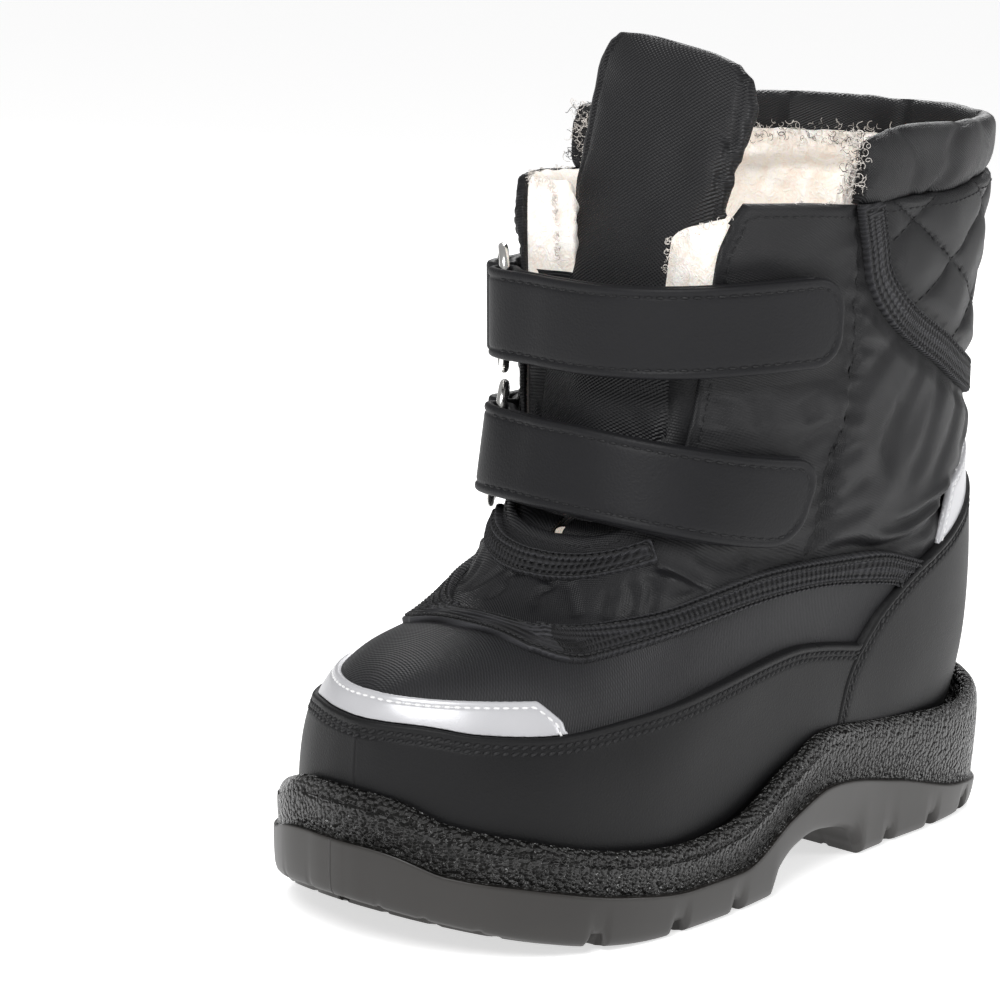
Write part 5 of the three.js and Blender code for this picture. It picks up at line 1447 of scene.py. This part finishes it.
def blown_up(name, points, faces, voxel, pressure, cap, still=None):
    """Padding: a slim form remeshed, blown up as cloth with no weight, held within a cap of its start."""
    mesh = bpy.data.meshes.new(name)
    mesh.from_pydata((np.asarray(points) * 0.001).tolist(), [], faces)
    form = bpy.data.objects.new(name, mesh)
    scene.collection.objects.link(form)
    remesh = form.modifiers.new("remesh", "REMESH")
    remesh.mode = "VOXEL"
    remesh.voxel_size = voxel * 0.001
    bpy.context.view_layer.update()
    even = bpy.data.meshes.new_from_object(form.evaluated_get(bpy.context.evaluated_depsgraph_get()))
    form.modifiers.clear()
    form.data = even
    start = np.array([v.co for v in even.vertices])
    end = start
    pinned = form.vertex_groups.new(name="pinned")
    held = np.zeros(len(start), bool) if still is None else still(start * 1000)
    pinned.add([int(i) for i in np.flatnonzero(held)], 1.0, "REPLACE")
    cloth = form.modifiers.new("cloth", "CLOTH")
    cloth.settings.quality = 6
    cloth.settings.mass = 0.2
    cloth.settings.tension_stiffness = 18
    cloth.settings.compression_stiffness = 18
    cloth.settings.bending_stiffness = 0.4
    cloth.settings.use_pressure = True
    cloth.settings.uniform_pressure_force = pressure
    cloth.settings.vertex_group_mass = "pinned"
    cloth.settings.effector_weights.gravity = 0
    cloth.collision_settings.use_collision = False
    for frame_number in range(1, 21):
        scene.frame_set(frame_number)
    shape = form.evaluated_get(bpy.context.evaluated_depsgraph_get())
    end = np.array([v.co for v in shape.data.vertices])
    form.modifiers.clear()
    scene.frame_set(1)
    move = end - start
    size = np.linalg.norm(move, axis=1, keepdims=True)
    capped = start + move * np.minimum(1, cap * 0.001 / np.maximum(size, 1e-9))
    even.vertices.foreach_set("co", capped.ravel())
    finer = form.modifiers.new("finer", "SUBSURF")
    finer.levels = finer.render_levels = 1
    bpy.context.view_layer.update()
    done = bpy.data.meshes.new_from_object(form.evaluated_get(bpy.context.evaluated_depsgraph_get()))
    bpy.data.objects.remove(form)
    found = np.array([v.co for v in done.vertices]) * 1000
    normals = np.array([v.normal for v in done.vertices])
    sides = [tuple(p.vertices) for p in done.polygons]
    return found, normals, sides


TONGUE_SLIMMER = 1.5
points, faces = tube(tongue_rings(40, 40, TONGUE_SLIMMER), True)
points, normals, faces = blown_up("tongue_form", points, faces, 2.0, 4.0, 1.4, lambda p: p[:, 2] < 84)


def tongue_row(z):
    """Half width and front of the tongue at heights."""
    place = np.interp(z, np.array(TONGUE["z"]) * COLLAR_HEIGHT, np.arange(10))
    return through_rows(TONGUE["half"], place) * TONGUE_WIDTH, through_rows(TONGUE["front"],
                                                                            place) * SOLE_LENGTH


# Its top edge falls towards the outer side.
points[:, 2] += (0.14 * (points[:, 1] - SIDE_SHIFT) - 1.2) * smooth((points[:, 2] - 148) / 26)
half_width, front = tongue_row(np.clip(points[:, 2], 70, 178))
side_place = points[:, 1] - SIDE_SHIFT
facing = smooth((-normals[:, 0] - 0.1) / 0.4)
strip = np.exp(-(((np.abs(side_place) - (half_width - 5.0)) / 0.55) ** 2)) * (points[:, 2] > 76)
relief = -0.7 * strip * facing
for k, (amount, pitch_y, pitch_z) in enumerate(((0.35, 0.16, 0.055), (0.25, 0.31, 0.12), (0.15, 0.5, 0.23))):
    relief += amount * np.sin(side_place * pitch_y + 1.3 * k) * np.sin(points[:,
                                                                              2] * pitch_z + 2.1 * k) * facing
for x0, z0, x1, z1 in ((-19, 150, -4, 147), (18, 141, 5, 145), (-16, 105, -2, 103), (17, 134, 7, 131)):
    line = np.array([(0, x0, z0), (0, (x0 + x1) / 2, (z0 + z1) / 2 + 0.8), (0, x1, z1)], float)
    away, share = line_distance(points * (0, 1, 1) - (0, SIDE_SHIFT, 0), line)
    relief -= 0.5 * facing * np.exp(-((away / 1.6) ** 2)) * (1 - share)
points = points + normals * relief[:, None]
uv = np.stack([side_place + 0.5 * (points[:, 0] - front), points[:, 2]], 1)
tongue_nylon = cloth_material("tongue_nylon", (0.003, 0.003, 0.0035), (0.015, 0.015, 0.017), 0.8, 0.75, 0.7,
                              0.42)
tongue = add_piece("tongue_padded", points, faces, tongue_nylon, uv, ["tongue"])


# Cuff
# A padded roll on the collar's edge, round the back from one quarter to the other, in the same nylon.
CUFF_START, CUFF_TOP, CUFF_POWER, CUFF_PROUD, CUFF_PADDING = 0.052, 1.017, 3.2, 2, 2.6


def turn_at_x(x, z, outer):
    low, high = 0.0, 0.5
    for _ in range(28):
        middle = (low + high) / 2
        if shaft_place(middle if outer else 1 - middle, z)[0][0] < x:
            low = middle
        else:
            high = middle
    return low if outer else 1 - low


def cuff_rings(steps, sides, slimmer=0.0):
    start = CUFF_START * SOLE_LENGTH
    level = float(collar_height(start))
    turn_from, turn_to = turn_at_x(start, level, True), turn_at_x(start, level, False)
    rings = []
    for i in range(steps + 1):
        turn = turn_from + (turn_to - turn_from) * i / steps
        base = float(collar_height(shaft_place(turn, level)[0][0])) - 1.3 + slimmer
        top = CUFF_TOP * COLLAR_HEIGHT - slimmer
        from_end = min(i, steps - i) / steps * 24
        full = 0.86 + 0.14 * float(smooth(from_end / 1.6))
        angle = np.linspace(0, 2 * np.pi, sides, endpoint=False)
        c = np.sign(np.cos(angle)) * np.abs(np.cos(angle)) ** (2 / CUFF_POWER)
        s = np.sign(np.sin(angle)) * np.abs(np.sin(angle)) ** (2 / CUFF_POWER)
        thick = CUFF_PROUD + WALL + CUFF_PADDING - 2 * slimmer
        out = CUFF_PROUD - slimmer - thick / 2 + (thick / 2) * full * c
        point, normal = shaft_place(turn, base + (top - base) * full * (0.5 + 0.5 * s))
        rings.append(point + unit(normal * (1, 1, 0)) * out[:, None])
    return rings


points, faces = tube(cuff_rings(110, 36, 1.1))
points, normals, faces = blown_up("cuff_form", points, faces, 1.8, 4.0, 1.2)
points[:, 2] -= 0.9 * smooth((152 - points[:, 2]) / 5)  # it sits down on the collar's edge
turn_round = np.arctan2(points[:, 1] - SIDE_SHIFT, points[:, 0] - 15)
outer_side = smooth((normals[:, 0] * np.cos(turn_round) + normals[:, 1] * np.sin(turn_round)) / 0.5)
arc = turn_round * 38
relief = 0.3 * np.sin(arc * 0.31) * np.sin(points[:, 2] * 0.3) * outer_side
for place, lean, width, depth in ((-62, 0.5, 1.8, 0.9), (-50, -0.4, 1.6, 0.6), (-36, 0.5, 2.0, 0.9),
                                  (-24, -0.5, 1.7, 0.8),
                                  (-12, 0.3, 2.0, 0.7), (4, -0.4, 1.8, 0.7), (20, 0.5, 2.0, 0.8),
                                  (38, -0.3, 1.8, 0.8),
                                  (56, 0.4, 1.7, 0.7)):
    away = arc - place - lean * (points[:, 2] - 156) - 1.2 * np.sin(points[:, 2] * 0.5 + place)
    relief -= depth * np.exp(-((away / width) ** 2)) * (0.35 + 0.65 * outer_side)
for place in (-30, -15, 0, 15, 30):
    relief -= 0.8 * np.exp(-(((arc - place) / 0.9) ** 2)) * (1 - outer_side) * (np.abs(normals[:, 2]) < 0.9)
points = points + normals * relief[:, None]
cuff = add_piece("cuff_padded", points, faces, nylon, np.stack([arc, points[:, 2] * 1.0], 1),
                 ["collar_cuff"])


# Fleece
# Cream pile on the inside of the shaft, seen over the low collar, between the tongue and the quarters
# and below the cuff. Its surface is lumpy.
PILE = 2.0


def fleece_material(name, low, high):
    """Deep curly pile: soft lumps over fine fibres, painted paler on top with painted shade in its hollows,
    and a faint painted glow.
    """
    material, tree, shader = new_material(name, 0.9)
    place = add_node(tree, "ShaderNodeTexCoord").outputs["Object"]
    bent = add_node(tree, "ShaderNodeTexNoise", Vector=place, Scale=500.0, Detail=5.0, Distortion=2.5)
    lumps = add_node(tree, "ShaderNodeTexNoise", Vector=place, Scale=160.0, Detail=3.0, Distortion=1.0)
    height = math_node(tree, "ADD", math_node(tree, "MULTIPLY", lumps.outputs[0], 2.0), bent.outputs[0])
    bump = add_node(tree, "ShaderNodeBump", Strength=0.7, Distance=0.0006, Height=height)
    # Painted shade: the colour darkens with the height of the lumps, towards the hollows.
    shade = add_node(tree, "ShaderNodeMapRange", Value=height, From_Min=1.1, From_Max=1.8)
    paint = add_node(tree, "ShaderNodeMix", {"data_type": "RGBA"}, Factor=shade.outputs[0], i6=(*low, 1),
                     i7=(*high, 1))
    tree.links.new(paint.outputs[2], shader.inputs["Base Color"])
    tree.links.new(bump.outputs[0], shader.inputs["Normal"])
    shader.inputs["Sheen Weight"].default_value = 0.5
    shader.inputs["Subsurface Weight"].default_value = 0.15
    shader.inputs["Subsurface Scale"].default_value = 0.002
    # A painted glow: the pile emits its pale colour, though it is no lamp.
    shader.inputs["Emission Color"].default_value = (*high, 1)
    shader.inputs["Emission Strength"].default_value = 0.2
    return material


fleece = fleece_material("fleece", (0.8, 0.7, 0.6), (0.97, 0.93, 0.88))


def lumps_of(points, size, height):
    total = np.zeros(len(points))
    for k in range(7):
        way = np.array([math.sin(2.1 * k + 0.3), math.cos(1.7 * k), math.sin(3.3 * k + 1)])
        total += np.sin(points @ unit(way) * (2 * np.pi / size) * (0.75 + 0.11 * k) + 1.9 * k)
    return height * total / 3


def fleece_top(x):
    low = collar_height(x)
    return low + (152.6 - low) * smooth((x - 9.5) / 3)


net, faces, points = trimmed(
    *last_grid(1.3, 0.3), lambda p: fleece_top(p[:, 0]) - 0.2 - p[:, 2] + lumps_of(p, 5, 0.25),
    lambda p: p[:, 2] - 21,
    lambda p: throat_distance(p) - 0.3 - 2.5 * (p[:, 2] < 118) - 5 * (p[:, 2] < 90)
    + 9.5 * smooth((p[:, 2] - 123) / 3) * (1 - (p[:, 1] < 0) * smooth((p[:, 2] - 136) / 8)))
rim = edge_distance(points, faces)
over_collar = smooth((points[:, 2] - collar_height(points[:, 0]) + 5) / 3) * smooth((points[:, 0] - 8) / 2)
lift = lumps_of(points, 7, 0.35) + lumps_of(points, 3.2, 0.22)
# Between the quarter's edge and the tongue it slopes in to the tongue's side.
sunk = 7.5 * smooth(-throat_distance(points) / 9)
inner = -sunk - (1.6 + PILE * (0.3 + 0.7 * round_edge(rim, 1.8)) + lift) - over_collar * 3.4
lining_points, lining_faces = shell(net, faces, np.full(len(net), -1.6) - over_collar * 3.4 - sunk, inner)
add_piece("fleece_lining", lining_points, lining_faces, fleece, doubled(surface_uv(net)))
edge_places = net[(rim < 1.3) & (points[:, 2] > 130)]
edge_depths = inner[(rim < 1.3) & (points[:, 2] > 130)] * 0.6

# Gusset
# Black nylon that joins the tongue to both quarters, below the fleece.
net, faces, points = trimmed(
    *last_grid(1.3, 0.3), lambda p: 1.5 - throat_distance(p), lambda p: throat_distance(p) + 10.5,
    lambda p: 126.5 - p[:, 2], lambda p: np.abs(p[:, 1] - SIDE_SHIFT) - 1.5 * (p[:, 2] < 80))
slope = -1.7 - 7.5 * smooth(-throat_distance(points) / 10) + lumps_of(points, 22, 0.4)
gusset_points, gusset_faces = shell(net, faces, slope, slope - 0.9)
add_piece("gusset_nylon", gusset_points, gusset_faces, nylon, doubled(surface_uv(net)))

# Insole
# A loose footbed covered with the same pile, following the bed of the sole.
BED_HEIGHT = 17
SIDE_BED = [0.56, 0.44, 0.37, 0.31, 0.3, 0.31, 0.4, 0.485, 0.515, 0.515, 0.515]
across_bed = np.linspace(-1, 1, 25)
rings = []
for x in np.concatenate([[-90.3], np.linspace(-88, 82, 60), [84]]):
    span_out = np.interp(x, lateral_edge[::-1, 0], lateral_edge[::-1, 1])
    span_in = np.interp(x, medial_edge[::-1, 0], medial_edge[::-1, 1])
    middle, half = (span_out + span_in) / 2 + SIDE_SHIFT, max((span_in - span_out) / 2 - 8.5, 1.0)
    half *= math.sqrt(max(1 - abs((x + 3) / 88) ** 6, 0.02))
    bed = float(side_height(SIDE_BED, x)) + BED_HEIGHT - SIDE_BED[-1] * RIM_HEIGHT
    top = np.stack([np.full(25, x), middle + half * across_bed, bed + 4 - 0.8 * np.abs(across_bed) ** 4], 1)
    top[:, 2] += lumps_of(top, 6, 0.25)
    low = np.stack([np.full(25, x), middle + half * across_bed * 0.97, np.full(25, bed - 0.2)], 1)
    rings.append(np.concatenate([top, low[::-1]]))
points, faces = tube(rings, True)
add_piece("insole_fleece", points, faces, fleece, None, ["insole"])


# Curls
# Loose fibres of the pile, white and black, along the lining's edges and over the cuff's front ends.
def curl_nodes():
    tree = bpy.data.node_groups.new("curls", "GeometryNodeTree")
    tree.interface.new_socket(name="Geometry", in_out="INPUT", socket_type="NodeSocketGeometry")
    for name, value in (("Radius", 0.0008), ("Height", 0.002), ("Rotations", 1.3), ("Thickness", 0.0001)):
        tree.interface.new_socket(name=name, in_out="INPUT",
                                  socket_type="NodeSocketFloat").default_value = value
    tree.interface.new_socket(name="Seed", in_out="INPUT", socket_type="NodeSocketInt").default_value = 3
    tree.interface.new_socket(name="Hair", in_out="INPUT", socket_type="NodeSocketMaterial")
    tree.interface.new_socket(name="Geometry", in_out="OUTPUT", socket_type="NodeSocketGeometry")
    into, out = tree.nodes.new("NodeGroupInput"), tree.nodes.new("NodeGroupOutput")
    spiral = add_node(tree, "GeometryNodeCurveSpiral", Resolution=9, Rotations=into.outputs["Rotations"],
                      Start_Radius=into.outputs["Radius"], End_Radius=0.0003, Height=into.outputs["Height"])
    profile = add_node(tree, "GeometryNodeCurvePrimitiveCircle", Resolution=3,
                       Radius=into.outputs["Thickness"])
    tube_mesh = add_node(tree, "GeometryNodeCurveToMesh", Curve=spiral.outputs[0],
                         Profile_Curve=profile.outputs[0])
    up = add_node(tree, "GeometryNodeInputNamedAttribute", {"data_type": "FLOAT_VECTOR"}, Name="up")
    stand = add_node(tree, "FunctionNodeAlignRotationToVector", {"axis": "Z"}, Vector=up.outputs[0])
    spin = add_node(tree, "FunctionNodeRandomValue", {"data_type": "FLOAT_VECTOR"}, Seed=into.outputs["Seed"])
    spin.inputs[0].default_value = (-1.0, -1.0, -3.1)
    spin.inputs[1].default_value = (1.0, 1.0, 3.1)
    turned = add_node(tree, "FunctionNodeRotateRotation", {"rotation_space": "LOCAL"},
                      Rotation=stand.outputs[0])
    tree.links.new(spin.outputs[0], turned.inputs[1])
    size = add_node(tree, "FunctionNodeRandomValue", {"data_type": "FLOAT"}, Seed=into.outputs["Seed"])
    size.inputs[2].default_value, size.inputs[3].default_value = 0.5, 1.25
    laid = add_node(tree, "GeometryNodeInstanceOnPoints", Points=into.outputs["Geometry"],
                    Instance=tube_mesh.outputs[0], Rotation=turned.outputs[0], Scale=size.outputs[1])
    real = add_node(tree, "GeometryNodeRealizeInstances", Geometry=laid.outputs[0])
    dyed = add_node(tree, "GeometryNodeSetMaterial", Geometry=real.outputs[0], Material=into.outputs["Hair"])
    tree.links.new(dyed.outputs[0], out.inputs["Geometry"])
    return tree


curling = curl_nodes()


def add_curls(name, points, ups, material, seed, radius=0.75, height=2.3, rotations=0.95, thickness=0.065):
    mesh = bpy.data.meshes.new(name)
    mesh.from_pydata((points * 0.001).tolist(), [], [])
    mesh.attributes.new("up", "FLOAT_VECTOR", "POINT").data.foreach_set("vector",
                                                                        ups.astype(np.float32).ravel())
    raw = bpy.data.objects.new(name + "_roots", mesh)
    scene.collection.objects.link(raw)
    modifier = raw.modifiers.new("curls", "NODES")
    modifier.node_group = curling
    sizes = {"Radius": radius * 0.001, "Height": height * 0.001, "Rotations": rotations,
             "Thickness": thickness * 0.001, "Seed": seed, "Hair": material}
    for item in curling.interface.items_tree:
        if item.in_out == "INPUT" and item.name in sizes:
            modifier[item.identifier] = sizes[item.name]
    return made_plain(name, raw, modifier, material)


random = np.random.RandomState(11)
start_turn = turn_at_x(CUFF_START * SOLE_LENGTH, 145, True)
end_turn = turn_at_x(CUFF_START * SOLE_LENGTH, 145, False)
roots, ups = [], []
for _ in range(560):  # along the lining's top edge, inside the cuff
    point, normal = shaft_place(random.uniform(start_turn, end_turn), random.uniform(149.5, 154.2))
    roots.append(point - unit(normal * (1, 1, 0)) * random.uniform(6.4, 7.2))
    ups.append(unit(-normal * (1, 1, 0) + np.array([0, 0, random.uniform(-0.3, 1.0)])))
for way, turn in ((-1, start_turn), (1, end_turn)):  # over the cuff's front ends
    for _ in range(150):
        share = random.uniform(0, 1)
        point, normal = shaft_place(turn, 146.5 + 13 * share)
        flat_normal = unit(normal * (1, 1, 0))
        ahead = np.array([-1.0, 0, 0])
        roots.append(point + flat_normal * random.uniform(-5.2, 0.9 - share) + ahead * random.uniform(-1.2,
                                                                                                      0.5))
        ups.append(unit(ahead + flat_normal * random.uniform(-0.5, 0.6)
                        + np.array([0, 0, random.uniform(-0.4, 0.4)])))
roots, ups = np.array(roots), np.array(ups)
dark_ones = random.uniform(size=len(roots)) < 0.42
white_hair = new_material("white_curls", 0.7, (0.85, 0.8, 0.75))[0]
black_hair = new_material("black_curls", 0.5, (0.012, 0.012, 0.013))[0]
add_curls("white_curls", roots[~dark_ones], ups[~dark_ones], white_hair, 5)
add_curls("black_curls", roots[dark_ones], ups[dark_ones], black_hair, 8)
picked = random.choice(len(edge_places), 420)
base, out_of = last_point(*edge_places[picked].T), last_normal(*edge_places[picked].T)
add_curls("edge_curls", base + out_of * edge_depths[picked][:, None], out_of, white_hair, 9, 0.5, 1.2, 1.0,
          0.08)
